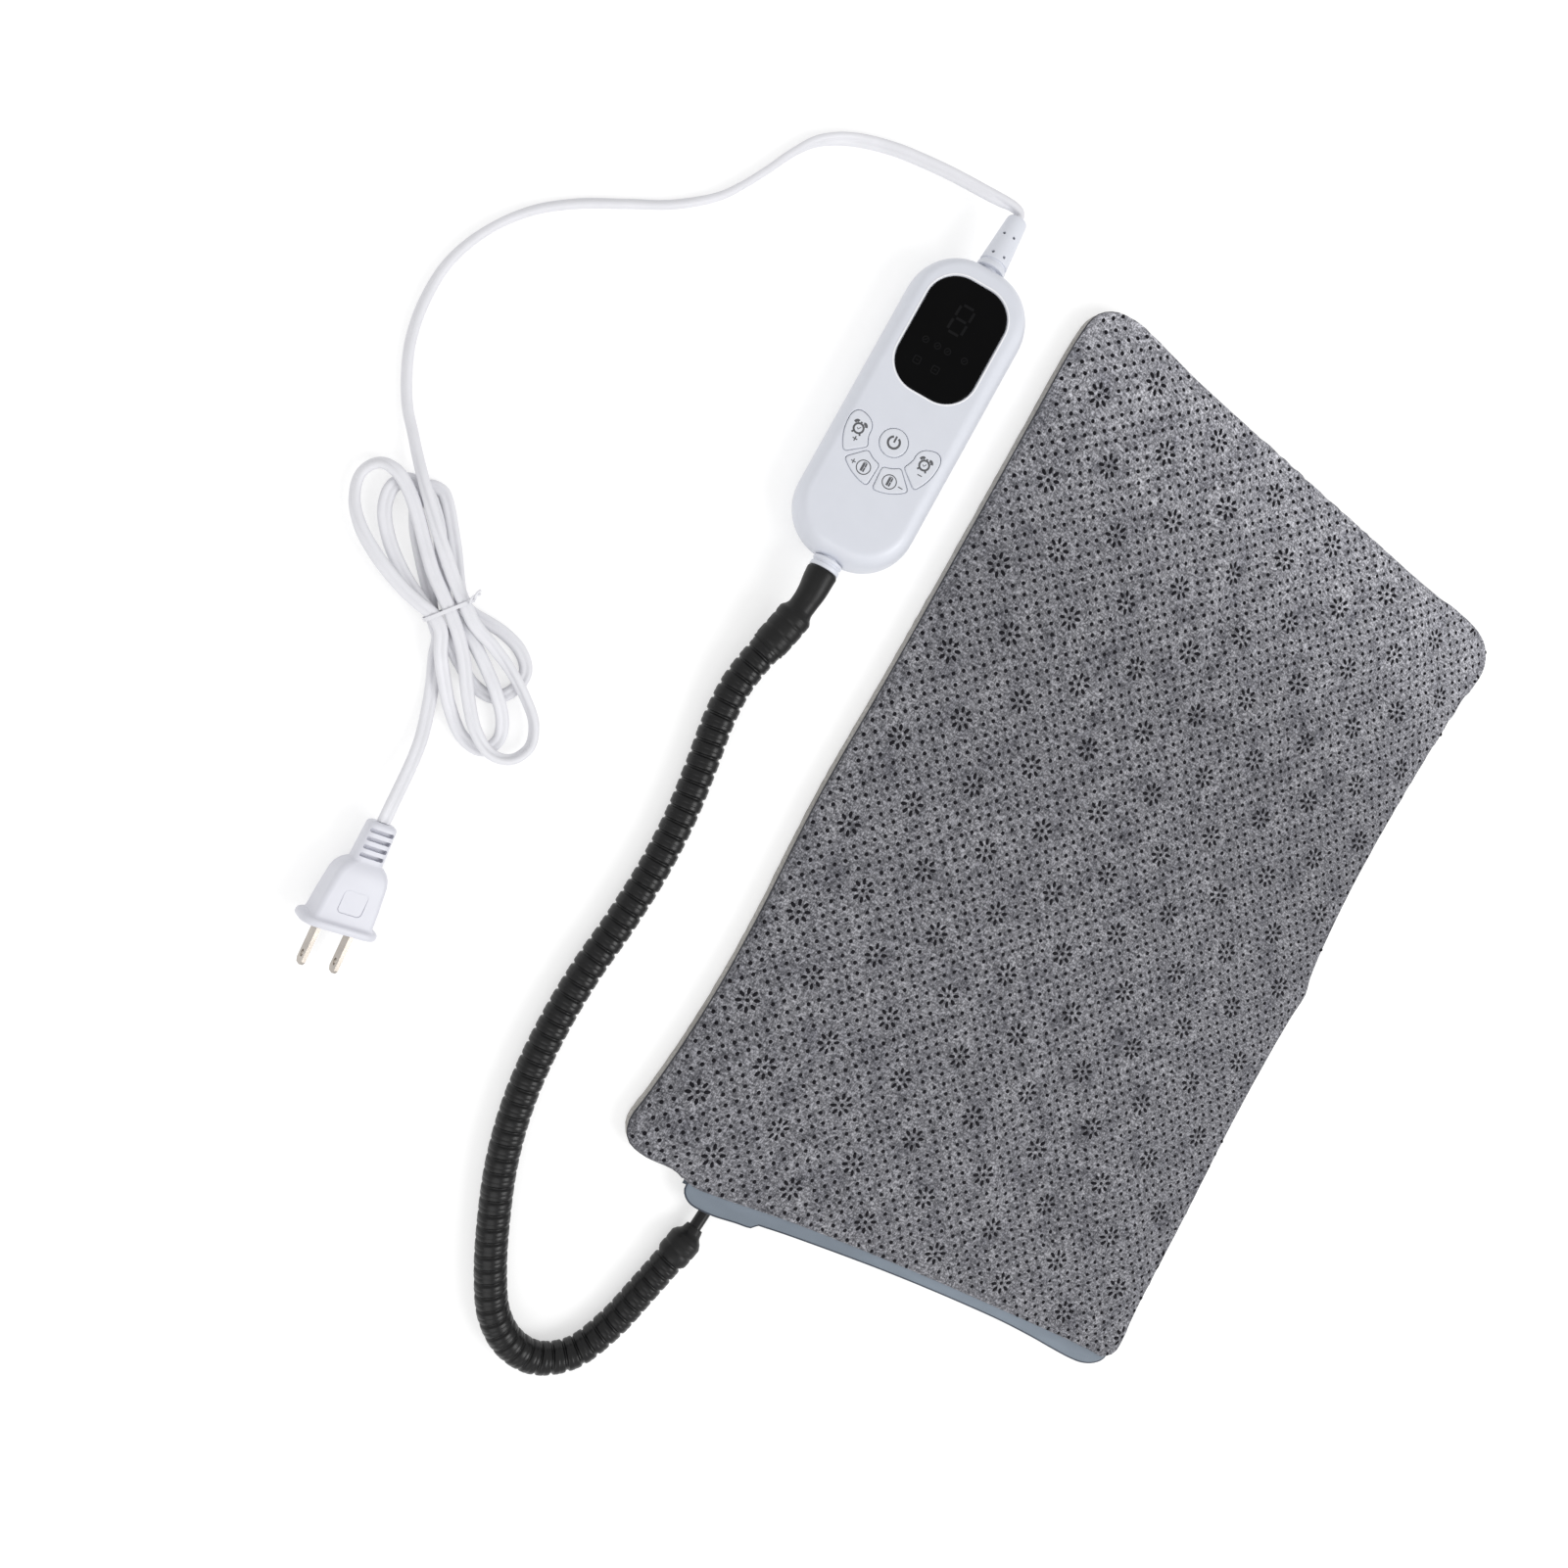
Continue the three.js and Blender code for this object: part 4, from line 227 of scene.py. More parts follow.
# Colour, roughness, size and depth of the grain, share of the cloud, and specular level where it isn't the usual one
for name, values in {
    "grip_dot": ((0.006, 0.0055, 0.0085), 0.6, 0.4, 0.04, 0.03, 0.12),
    "black_hose": ((0.0038, 0.0038, 0.0042), 0.30, 0.5, 0.03, 0.1, 0.34),
    "black_sleeve": ((0.0050, 0.0050, 0.0052), 0.40, 0.7, 0.05, 0.1, 0.32),
    "white_case": ((0.711, 0.731, 0.793), 0.34, 0.25, 0.006, 0.012),
    # The lens lip's white is lighter than the case's: a painted highlight on the rim round the lens
    "lip_painted_highlight": ((0.93, 0.93, 0.95), 0.34, 0.25, 0.006, 0.012),
    "white_key": ((0.711, 0.731, 0.788), 0.42, 0.25, 0.01, 0.012),
    "white_cord": ((0.765, 0.765, 0.800), 0.42, 0.5, 0.02, 0.02),
    "white_plug": ((0.700, 0.705, 0.765), 0.38, 0.3, 0.01, 0.015),
    "black_lens": ((0.0018, 0.0018, 0.0020), 0.16, 0.6, 0.002, 0.1, 0.06),
    "lens_mark": ((0.0065, 0.0065, 0.0072), 0.26, 0.6, 0.002, 0.1, 0.10),
    "grey_print": ((0.098, 0.100, 0.108), 0.6, 0.3, 0.01, 0.1),
    # Dark discs at the floors of the boot's holes: painted shade, where the white plastic lies in shadow
    "hole_floor_painted_shade": ((0.10, 0.10, 0.11), 0.8, 0.3, 0.01, 0.1),
    "dark_plastic": ((0.030, 0.030, 0.033), 0.5, 0.4, 0.03, 0.1),
    "zip_nylon": ((0.110, 0.135, 0.165), 0.4, 0.5, 0.03, 0.08),
    "green_board": ((0.03, 0.16, 0.07), 0.35, 1.2, 0.05, 0.1),
    "inner_felt": ((0.62, 0.60, 0.55), 0.9, 1.0, 0.3, 0.1),
    "inner_liner": ((0.72, 0.72, 0.70), 0.8, 0.8, 0.15, 0.06),
    "wire_jacket": ((0.55, 0.10, 0.07), 0.45, 0.5, 0.03, 0.08),
}.items():
    FINISH[name] = moulded(name, *values)


# --- mesh helpers (millimetres)
def quads(rows, count, closed=True):
    """Four-sided faces between rows of `count` points."""
    steps = [(k, (k + 1) % count) for k in range(count if closed else count - 1)]
    return [(a + k, a + n, a + count + n, a + count + k) for a in range(0, (rows - 1) * count, count) for k, n in steps]


class Form:
    """Points and faces in millimetres, gathered from lofts, plates and strips."""

    def __init__(self):
        self.points, self.faces = [], []

    def add(self, points, faces):
        first = len(self.points)
        self.points.extend(tuple(map(float, p)) for p in points)
        self.faces.extend(tuple(first + i for i in face) for face in faces)
        return self

    def loft(self, rings, hollow=False):
        """A skin over rings, capped at its ends, or led from the last ring back to the first."""
        points = np.concatenate([np.asarray(r, float) for r in rings])
        count, total = len(rings[0]), len(points)
        if hollow:
            faces = [tuple(i % total for i in face) for face in quads(len(rings) + 1, count)]
        else:
            faces = quads(len(rings), count) + [tuple(range(count))[::-1], tuple(range(total - count, total))]
        return self.add(points, faces)

    def strip(self, line, width, z, closed=False):
        """Flat printed stroke along a line of (u, v) points."""
        line = np.asarray(line, float)
        way = unit(np.roll(line, -1, 0) - np.roll(line, 1, 0) if closed else np.gradient(line, axis=0))
        off = np.c_[-way[:, 1], way[:, 0]] * width / 2
        return self.add(at_height(np.vstack([line + off, line - off]), z), quads(2, len(line), closed))

    def disc(self, outline, z):
        return self.add(at_height(outline, z), [tuple(range(len(outline)))])


def shade(made, sharp):
    made.data.polygons.foreach_set("use_smooth", [True] * len(made.data.polygons))
    made.data.set_sharp_from_angle(angle=math.radians(sharp))


def mesh_object(name, points, faces):
    mesh = bpy.data.meshes.new(name)
    mesh.from_pydata([tuple(c * MM for c in p) for p in points], [], faces)
    return new_object(name, mesh)


def make(name, form, finish, place=None, body=BODY, replaces=(), sharp=35):
    """A shaded object from a form, placed and riding on a body. Where it replaces CAD nodes, those are hidden."""
    made = mesh_object(name, form.points if place is None else [place(*p) for p in form.points], form.faces)
    mesh = made.data
    work = bmesh.new()
    work.from_mesh(mesh)
    bmesh.ops.remove_doubles(work, verts=work.verts, dist=1e-6)
    bmesh.ops.recalc_face_normals(work, faces=work.faces)
    work.to_mesh(mesh)
    work.free()
    mesh.materials.append(FINISH[finish])
    shade(made, sharp)
    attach(made, body)
    if replaces:
        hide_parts(*replaces)
    return made


def cut(made, finish, *forms, place, sharp=35):
    """Cuts closed forms out of an object and keeps the result as its mesh."""
    for form in forms:
        tool = make("cutter", form, finish, place)
        modifier = made.modifiers.new("cut", "BOOLEAN")
        modifier.operation = "DIFFERENCE"
        modifier.solver = "EXACT"
        modifier.object = tool
        settled = bpy.data.meshes.new_from_object(made.evaluated_get(bpy.context.evaluated_depsgraph_get()))
        made.modifiers.clear()
        old, made.data = made.data, settled
        bpy.data.meshes.remove(old)
        bpy.data.objects.remove(tool)
    shade(made, sharp)


def smooth_step(x, low, high):
    t = np.clip((np.asarray(x, float) - low) / (high - low), 0, 1)
    return t * t * (3 - 2 * t)


def unit(way):
    return way / np.linalg.norm(way, axis=-1, keepdims=True)


def lerp(a, b, t):
    return a + (b - a) * t


def rounded(half_x, half_y, radius, steps):
    """Rounded rectangle, counter-clockwise from +X."""
    points = []
    for i, (sx, sy) in enumerate(((1, 1), (-1, 1), (-1, -1), (1, -1))):
        for k in range(steps + 1):
            a = math.pi / 2 * (i + k / steps)
            points.append((sx * (half_x - radius) + radius * math.cos(a),
                           sy * (half_y - radius) + radius * math.sin(a)))
    return np.array(points)


def at_height(ring, z):
    return np.c_[ring, np.full(len(ring), z)]


def circle(radius, steps, centre=(0, 0), arc=None):
    """A whole circle, or an arc from one angle to another in degrees."""
    a = np.arange(steps) / steps * 2 * math.pi if arc is None else np.radians(np.linspace(*arc, steps))
    return np.c_[centre[0] + radius * np.cos(a), centre[1] + radius * np.sin(a)]


SPLINE_STEPS = 24


def spline(points, closed=False, steps=SPLINE_STEPS):
    """Centripetal Catmull-Rom curve through points, as the solids' routes have it."""
    p = np.asarray(points, float)
    if closed:
        p = np.vstack([p[-1], p, p[0], p[1]])
    else:
        p = np.vstack([2 * p[0] - p[1], p, 2 * p[-1] - p[-2]])
    t = np.linspace(0, 1, steps, endpoint=False)[:, None]
    out = []
    for a, b, c, d in zip(p, p[1:], p[2:], p[3:]):
        h0, h1, h2 = (max(np.linalg.norm(y - x), 1e-6) ** 0.5 for x, y in ((a, b), (b, c), (c, d)))
        m1 = ((b - a) / h0 - (c - a) / (h0 + h1) + (c - b) / h1) * h1
        m2 = ((c - b) / h1 - (d - b) / (h1 + h2) + (d - c) / h2) * h1
        out.append(b + m1 * t + (-3 * b + 3 * c - 2 * m1 - m2) * t**2 + (2 * b - 2 * c + m1 + m2) * t**3)
    return np.vstack(out + ([] if closed else [p[-2][None]]))


def distances(line):
    return np.r_[0, np.cumsum(np.linalg.norm(np.diff(line, axis=0), axis=1))]


def at_distance(line, where):
    s = distances(line)
    return np.stack([np.interp(where, s, line[:, k]) for k in range(line.shape[1])], 1)


def even(line, step):
    total = distances(line)[-1]
    return at_distance(line, np.linspace(0, total, max(3, round(total / step) + 1)))


def path_frames(line):
    way = unit(np.gradient(line, axis=0))
    side = unit(np.cross([0, 0, 1], way))
    return side, np.cross(way, side)


def tube_rings(line, radius, sides):
    """Round rings along a line, with one radius or a radius for each."""
    side, up = path_frames(line)
    a = (np.arange(sides) + 0.5) / sides * 2 * math.pi
    about = np.cos(a)[None, :, None] * side[:, None] + np.sin(a)[None, :, None] * up[:, None]
    return list(line[:, None] + np.broadcast_to(radius, len(line))[:, None, None] * about)


# --- frames of the controller and the plug
def posed(x, y, z, yaw, roll):
    """Places (u, v, w) of a piece that is rolled about its length and then turned about Z."""
    c, s = math.cos(math.radians(yaw)), math.sin(math.radians(yaw))
    cr, sr = math.cos(math.radians(roll)), math.sin(math.radians(roll))

    def place(u, v, w):
        a = u * cr - w * sr
        return x + a * c - v * s, y + a * s + v * c, z + u * sr + w * cr

    return place


PLUG_ROLL = 14
AXIS_W = 10  # height of the glands' axis over the case's back
on_case = posed(-197.5, 111.2, 7.6161, 0.5, 20.6)
on_plug = posed(-299.74, -131.58, 11.1321, -175.06, PLUG_ROLL)
CASE_AXIS = np.array(on_case(0, 1, 0)) - np.array(on_case(0, 0, 0))
PLUG_AXIS = np.array(on_plug(0, 1, 0)) - np.array(on_plug(0, 0, 0))

# --- hose, sleeves and lead
FIT = 0.3
HOSE_Z, SLEEVE_Z, LEAD_Z = 6.9, 7.95, 6.4
COLLAR_FACE = np.array(on_case(0, -72.6, AXIS_W))
hose_line = spline([
    COLLAR_FACE - FIT * CASE_AXIS, COLLAR_FACE - 3.4 * CASE_AXIS,
    (-199.9, 29, 16.4), (-200.1, 21.7, 15.1), (-201.2, 11.7, 13.2), (-203, 1.3, 11.3), (-204.8, -9.2, 9.7),
    (-205.6, -18.8, 8.5), (-205.1, -27.8, 7.6), (-204.1, -36.5, 7.1),
    *at_height([(-201, -54), (-198, -76), (-197, -100), (-198.3, -126), (-200.8, -152), (-201, -180), (-198.4, -206),
                (-192.3, -231), (-183.3, -254), (-172, -277), (-161.5, -292.5), (-149, -301.5), (-135, -303.8),
                (-121.5, -297), (-112.5, -281)], HOSE_Z),
    (-107, -261, 7.4), (-103.2, -245, SLEEVE_Z), (-100.6, -234, SLEEVE_Z), (-98.6, -223.5, LEAD_Z + FIT),
    (-98, -214, LEAD_Z), (-98, -200.3, LEAD_Z),
])
HOSE_LENGTH = distances(hose_line)[-1]
HOSE_FROM, HOSE_TO = 19.0, HOSE_LENGTH - 34
RIB_PITCH = 5.9
RIBS = round((HOSE_TO - HOSE_FROM) / RIB_PITCH)
RIB = (HOSE_TO - HOSE_FROM) / RIBS
RIB_STEPS = 20
HOSE_R, ROOT_R, LEAD_R = 6.75, 5.8, 2.8
SLEEVE_WALL = 0.6
UPPER_END, LOWER_FROM, LOWER_END = 38, HOSE_TO - 10, HOSE_TO + 5.5


def rib_wave(s):
    """0 in the groove, 1 on the crest: a crest with a fine line round it, steep flanks and a narrow floor."""
    p = np.mod((np.asarray(s, float) - HOSE_FROM) / RIB, 1)
    crest = 1 - 0.10 * ((p - 0.5) / 0.3) ** 2 - 0.16 * np.exp(-((p - 0.52) / 0.065) ** 2)
    return smooth_step(p, 0.03, 0.16) * smooth_step(1 - p, 0.03, 0.16) * crest


def rib_radius(s):
    return ROOT_R + (HOSE_R - ROOT_R) * np.clip(rib_wave(s), 0, 1)


s_hose = np.linspace(HOSE_FROM, HOSE_TO, RIBS * RIB_STEPS + 1)
hose_centres = at_distance(hose_line, s_hose)
hose = make("ribbed_hose_skin", Form().loft(tube_rings(hose_centres, rib_radius(s_hose), 32)), "black_hose",
            replaces=["ribbed_hose"], sharp=60)

lead_centres = even(hose_line, 3)
lead = make("pad_lead_skin", Form().loft(tube_rings(lead_centres, LEAD_R, 20)), "black_hose", replaces=["pad_lead"],
            sharp=60)


def sleeve(name, start, end, radii, node):
    """Shrunk sleeve: an outer skin that shows the ribs beneath it, and a thin open lip at the wide end."""
    s = np.linspace(start, end, round((end - start) * 3) + 1)
    line = at_distance(hose_line, s)
    outer = tube_rings(line, radii(s), 40)
    inner = tube_rings(line, np.maximum(radii(s) - SLEEVE_WALL, LEAD_R + 0.15), 40)
    return make(name, Form().loft(outer + inner[::-1], hollow=True), "black_sleeve", replaces=[node], sharp=50)


def upper_radii(s):
    neck = np.interp(s, [0, 0.8, 6, 13.5, 17, 18.4], [6.2, 6.6, 6.25, 5.55, 5.5, 5.7])
    body = 7.35 + 0.38 * (rib_wave(s) - 0.6)
    lip = np.interp(s, [UPPER_END - 1.2, UPPER_END], [0, -0.25])
    return lerp(neck, body + lip, smooth_step(s, 17.6, 21.5))


def lower_radii(s):
    neck = np.interp(s, [HOSE_TO + 3, LOWER_END], [4.5, 3.9])
    body = 7.3 + 0.36 * (rib_wave(s) - 0.6)
    lip = np.interp(s, [LOWER_FROM, LOWER_FROM + 1], [-0.25, 0])
    return lerp(body + lip, neck, smooth_step(s, HOSE_TO - 0.8, HOSE_TO + 3.2))


upper_sleeve = sleeve("upper_sleeve_skin", 0, UPPER_END, upper_radii, "upper_shrink_sleeve")
lower_sleeve = sleeve("lower_sleeve_skin", LOWER_FROM, LOWER_END, lower_radii, "lower_shrink_sleeve")

# --- mains cord: run, hank and tail in one length
CORD_W, CORD_T = 5.2, 2.9
BOOT_TIP = np.array(on_case(0, 93.3, AXIS_W))


def on_hank(along, across, z):
    return (-317.4 - 0.8 * along + 0.6 * across, -50.8 + 0.6 * along + 0.8 * across, z)


HANK_SIDE, HANK_LOW, HANK_HIGH = 6, 2.85, 9.3
WAIST = 4  # half the length over which the hank's strands lie side by side
REST_Z = 2.75
cord_line = spline([
    BOOT_TIP, BOOT_TIP + CORD_T / 2 * CASE_AXIS,
    (-203.3, 207.3, 17), (-206.3, 207.6, 16.8), (-212.1, 206.6, 16), (-217.5, 205.8, 14.9), (-225.3, 205, 12.9),
    (-235.6, 203.9, 10), (-245.5, 202.3, 7.2), (-255.3, 200.2, 4.7), (-264.5, 197, 2.9), (-272.8, 192.7, 2.4),
    (-280, 187.4, 2.6),
    *at_height([(-286.7, 180.5), (-292.2, 170.6), (-296.8, 159.6), (-301.8, 149), (-307.6, 139.2), (-320.7, 125.4),
                (-335.5, 114.3), (-349.8, 103.4), (-362.4, 90.6), (-372.3, 74), (-377.5, 56.8), (-377.7, 40),
                (-374.9, 25.6)], REST_Z),
    (-369.6, 13.2, 2.8), (-364.4, 4.6, 3.4), (-359.3, -1.5, 4.9), (-353.6, -8.4, 7.1), (-348, -14.8, 9.3),
    (-341.5, -21.4, 9.6), (-334.8, -28.1, 9.5), (-327.8, -34.6, 9.4),
    on_hank(WAIST + CORD_W, HANK_SIDE, HANK_HIGH), on_hank(WAIST + FIT, HANK_SIDE, HANK_HIGH),
])
# Points through three loops at each end of the hank, and the roll in degrees where it isn't 0
hank_points = np.array([
    (-317, -43.6, 9.3), (-312.2, -47.2, 9.3), (-306.9, -50.9, 9.3), (-297.2, -54.3, 8.1), (-287, -58.8, 7.1),
    (-276.7, -65.2, 6.3), (-268.5, -72.6, 5.5), (-265.4, -81.3, 5.1), (-269.2, -88.7, 5.5), (-277.4, -90.5, 6.7),
    (-286.8, -85.5, 7.9), (-295.8, -75.4, 8.3), (-304.2, -63.7, 8.6), (-311.2, -56.2, 9.3), (-317.4, -50.8, 9.3),
    (-322.2, -47.2, 9.3), (-329.5, -41.4, 9), (-336.4, -34.3, 8.1), (-343.4, -26.9, 8.1), (-350.1, -20.9, 8.2),
    (-356.8, -17.2, 8.1), (-363.1, -17.4, 6.6), (-366.9, -23.6, 5.1), (-364.9, -32.6, 5.1), (-358.4, -40.6, 6.7),
    (-348.2, -47.2, 8.3), (-336.1, -52.2, 8.8), (-327.4, -54.4, 9.3), (-321, -55.6, 9.3), (-316.2, -59.2, 9.3),
    (-312.4, -66.1, 8.6), (-306.5, -73.9, 6.6), (-298.7, -82.8, 4.5), (-289, -90.1, 2.5), (-280, -91, 1.8),
    (-276.6, -84.7, 1.8), (-279.2, -77.4, 3.5), (-286.6, -69.4, 5.4), (-295.2, -62.5, 5.6), (-304.6, -56.3, 6.1),
    (-311.8, -53.4, 6.1), (-316.9, -50.2, 6), (-321.7, -46.6, 6), (-326.4, -38.5, 5.6), (-331.9, -30.4, 4.9),
    (-337.8, -23.1, 4.9), (-345.1, -17.4, 4.9), (-351.8, -17, 4.9), (-355.6, -22.1, 4.9), (-354.3, -30.4, 4.9),
    (-347.8, -39.3, 4.9), (-338.6, -46.8, 5.1), (-328.5, -52.5, 5.8), (-321, -55.6, 6), (-315.8, -58.7, 6),
    (-309.3, -62.6, 5.6), (-302.7, -66.7, 3.7), (-295.1, -70.7, 1.7), (-286.4, -71.1, 1.7), (-281.1, -64.9, 1.7),
    (-280.7, -56.2, 1.7), (-286.6, -50.4, 1.7), (-294.9, -47.8, 1.7), (-303, -47.4, 2.4), (-308.8, -47.4, 2.8),
    (-313.8, -46, 2.8), (-318.6, -40.4, 2.6), (-325.1, -30.9, 1.7), (-331.2, -23, 1.7), (-336.6, -16.6, 1.7),
    (-339.8, -14.1, 1.7), (-344, -14.6, 1.7), (-346.4, -18, 1.7), (-345.7, -22.2, 1.7), (-341.4, -30.5, 1.7),
    (-333.7, -40.1, 1.9), (-326.8, -48, 2.6), (-321, -55.6, 2.8), (-317.4, -59.2, 2.6),
])
hank_roll = np.zeros(len(hank_points))
hank_roll[3:11] = 20, 45, 60, 65, 65, 60, 40, 15
hank_roll[20:26] = 10, 55, 65, 60, 35, 5
hank_line = spline(hank_points)
hank_way = unit(hank_line[-1] - hank_line[-2])
NECK_TOP = np.array(on_plug(0, 0, 0))
tail_line = spline([
    hank_line[-1] + FIT * hank_way, hank_line[-1] + CORD_T * hank_way, (-312.8, -68.2, 1.8), (-309, -76.8, 1.8),
    (-305.9, -85.2, 2.5), (-301.9, -100.6, 5.4), NECK_TOP - (CORD_W + FIT) * PLUG_AXIS, NECK_TOP - FIT * PLUG_AXIS])
RUN, TAIL = distances(cord_line)[-1], distances(tail_line)[-1]
whole_line = even(np.vstack([cord_line, hank_line, tail_line]), 1.2)
s_cord = distances(whole_line)
CORD_LENGTH = s_cord[-1]
# Steps of (distance, roll in degrees) along the cord
roll_steps = [(0, 90), (5, 90), (16, 150), (76, 155), (104, 92), (130, 85), (155, 62), (195, 54), (230, 76), (270, 63),
              (RUN - 60, 65), (RUN - 43, 56), (RUN - 24, 30), (RUN - 6, 0)]
roll_steps += list(zip(RUN + FIT + distances(hank_line)[::SPLINE_STEPS], hank_roll))
roll_steps += [(CORD_LENGTH - TAIL + 20, 0), (CORD_LENGTH - 12, -PLUG_ROLL)]
cord_roll = np.radians(np.interp(s_cord, *np.array(roll_steps).T))


def twin_section(width, thick, waist, steps=11):
    """Two round cores side by side with a groove between them."""
    r = thick / 2
    c = width / 2 - r
    a = math.pi - math.asin(waist / r)
    lobe = np.array([(c + r * math.cos(x), r * math.sin(x)) for x in np.linspace(-a, a, steps)])
    return np.vstack([lobe, -lobe])


def swept(line, section, roll):
    side, up = path_frames(line)
    c, s = np.cos(roll)[:, None], np.sin(roll)[:, None]
    across, over = side * c + up * s, up * c - side * s
    return list(line[:, None] + section[None, :, :1] * across[:, None] + section[None, :, 1:] * over[:, None])


cord_rings = swept(whole_line, twin_section(CORD_W, CORD_T, 1.08), cord_roll)
cord = make("mains_cord_skin", Form().loft(cord_rings), "white_cord",
            replaces=["mains_cord", "mains_hank", "mains_cord_tail"], sharp=60)

# Twist tie round the waist: a flat band that sags on top, then its two ends twisted together
TIE_HALF, TIE_ROOM = 0.7, 0.7
tie_low, tie_high = HANK_LOW - CORD_T / 2 - TIE_ROOM, HANK_HIGH + CORD_T / 2 + TIE_ROOM
tie_middle, tie_side = (tie_low + tie_high) / 2, HANK_SIDE + CORD_W / 2 + 1.3
ring = rounded(tie_side, (tie_high - tie_low) / 2, 2.0, 8) + (0, tie_middle)
ring[:, 1] -= 0.15 * np.sin(math.pi * (ring[:, 0] / tie_side + 1) / 2) * (ring[:, 1] > tie_middle)
inner = np.c_[ring[:, 0] * 0.965, lerp(tie_middle, ring[:, 1], 0.93)]
band = Form().loft([[(x, a, w) for a, w in r] for x, r in
                    ((-TIE_HALF, ring), (TIE_HALF, ring), (TIE_HALF, inner), (-TIE_HALF, inner))], hollow=True)
for strand in (0, math.pi):
    t = np.linspace(0, 1, 40)
    twist = strand + t * 7
    line = np.c_[0.55 * np.cos(twist) + 2.2 * t, lerp(7.5, 12.4, t) + 0.55 * np.sin(twist),
                 tie_high + 0.2 + 3.6 * np.sin(t * 1.9)]
    band.loft(tube_rings(line, 0.45, 10))
tie = make("twist_tie_skin", band, "white_cord", on_hank, replaces=["twist_tie"], sharp=50)


# --- plug
def plug_rings(stations):
    """Rings at the stations (place, width, thickness, corner) and halfway between them."""
    y, *sizes = np.array(stations).T
    rings = []
    for p in np.unique(np.r_[y, (y[:-1] + y[1:]) / 2]):
        width, thick, corner = (np.interp(p, y, size) for size in sizes)
        flat = rounded(width / 2, thick / 2, min(corner, thick / 2 - 0.01, width / 2 - 0.01), 9)
        rings.append([(a, p, b) for a, b in flat])
    return rings


plug = make("plug_skin", Form().loft(plug_rings([
    (0, 8.4, 6.2, 2.6), (0.5, 10.2, 7.7, 2.9), (1.2, 11, 8.4, 3), (15.4, 12.1, 9.1, 3), (16.2, 14.5, 9.9, 3.2),
    (17.4, 17, 11, 3.0), (19.4, 19.2, 12.1, 2.6), (21.8, 20.3, 12.7, 2.2), (31, 22, 13.5, 1.9), (38, 23, 14, 2.0),
    (38.8, 23.6, 14.4, 2.6), (39.3, 25.5, 15.6, 4.4), (39.5, 28.4, 17.0, 6), (39.9, 29.5, 17.7, 6.4),
    (40.5, 30, 18, 6.5), (41.6, 30, 18, 6.5), (42.0, 29.6, 17.6, 6.4), (42.3, 28.8, 16.8, 6)])), "white_plug", on_plug,
    replaces=["plug_body"], sharp=50)
NECK, SLOTS, SLOT_FLOOR = 16, 4, 1.5
PANEL_LINE, PANEL_FLOOR, PLUG_OVER = 0.14, 6.46, 9
slots = []
for i in range(SLOTS):
    mouth = rounded(4.6, 0.8, 0.5, 3) + (0, NECK * (i + 1) / (SLOTS + 1))
    slots += [Form().loft([at_height(mouth, way * w) for w in (SLOT_FLOOR, PLUG_OVER)]) for way in (1, -1)]
# A fine line round a flat panel on each broad side
line_rows = ((PANEL_LINE, PANEL_FLOOR), (PANEL_LINE, PLUG_OVER), (-PANEL_LINE, PLUG_OVER), (-PANEL_LINE, PANEL_FLOOR))
lines = [Form().loft([at_height(rounded(4.6 + g, 4.4 + g, 1.6 + g, 8) + (0, 30.6), way * w) for g, w in line_rows],
                     hollow=True) for way in (1, -1)]
cut(plug, "white_plug", *slots, *lines, place=on_plug, sharp=40)

# --- controller case
CASE_HALF_U, CASE_HALF_V, CASE_CORNER = 26.1, 68, 22.3
RIM, TOP, PART = 8.8, 20, 8.5


def case_ring(inset, z):
    return at_height(rounded(CASE_HALF_U - inset, CASE_HALF_V - inset, CASE_CORNER - inset, 18), z)


def crown(rim, top, inset, count=16):
    """Rings over a quarter of an ellipse, from the rim in to the top."""
    return [case_ring(inset * (1 - math.cos(a)), lerp(rim, top, math.sin(a)))
            for a in np.linspace(0, math.pi / 2, count)]


# Key outlines: a round power key with four arc keys about it
KEY_V = -16.0


def arc_outline(side, start, end, round_end, grow):
    inner, outer = 10.5 - grow, 20.3 + grow
    middle = (inner + outer) / 2
    a0, a1 = math.radians(start) - grow / middle, math.radians(end) + grow / middle
    small = 1.6 + grow * 0.5
    large = (outer - inner) * 0.48 if round_end else small

    def place(r, a):
        return np.array((side * r * math.sin(a), KEY_V - r * math.cos(a)))

    def bend(p, q, r, steps):
        return [p * (1 - t) ** 2 + q * 2 * t * (1 - t) + r * t * t for t in np.linspace(0, 1, steps + 1)]

    def arc(r, b0, b1, steps):
        return [place(r, lerp(b0, b1, k / steps)) for k in range(1, steps)]

    turn_steps = 12 if round_end else 6
    out = bend(place(outer - small, a0), place(outer, a0), place(outer, a0 + small / outer), 6)
    out += arc(outer, a0 + small / outer, a1 - large / outer, 16)
    out += bend(place(outer, a1 - large / outer), place(outer, a1), place(outer - large, a1), turn_steps)
    out += bend(place(inner + large, a1), place(inner, a1), place(inner, a1 - large / inner), turn_steps)
    out += arc(inner, a1 - large / inner, a0 + small / inner, 12)
    out += bend(place(inner, a0 + small / inner), place(inner, a0), place(inner + small, a0), 6)
    return np.array(out)


KEYS = {
    "power": lambda grow: circle(5.7 + grow, 56, (0, KEY_V)),
    "timer_plus": lambda grow: arc_outline(-1, 52, 107, True, grow),
    "timer_minus": lambda grow: arc_outline(1, 52, 107, True, grow),
    "heat_plus": lambda grow: arc_outline(-1, 4, 44.5, False, grow),
    "heat_minus": lambda grow: arc_outline(1, 4, 44.5, False, grow),
}
LENS_V = 31.9


def lens_outline(grow):
    return rounded(17.2 + grow, 25.1 + grow, 13 + grow, 16) + (0, LENS_V)


def stack(outline, rows, hollow=False):
    """A loft of one outline through rows of (growth, height)."""
    return Form().loft([at_height(outline(grow), z) for grow, z in rows], hollow)


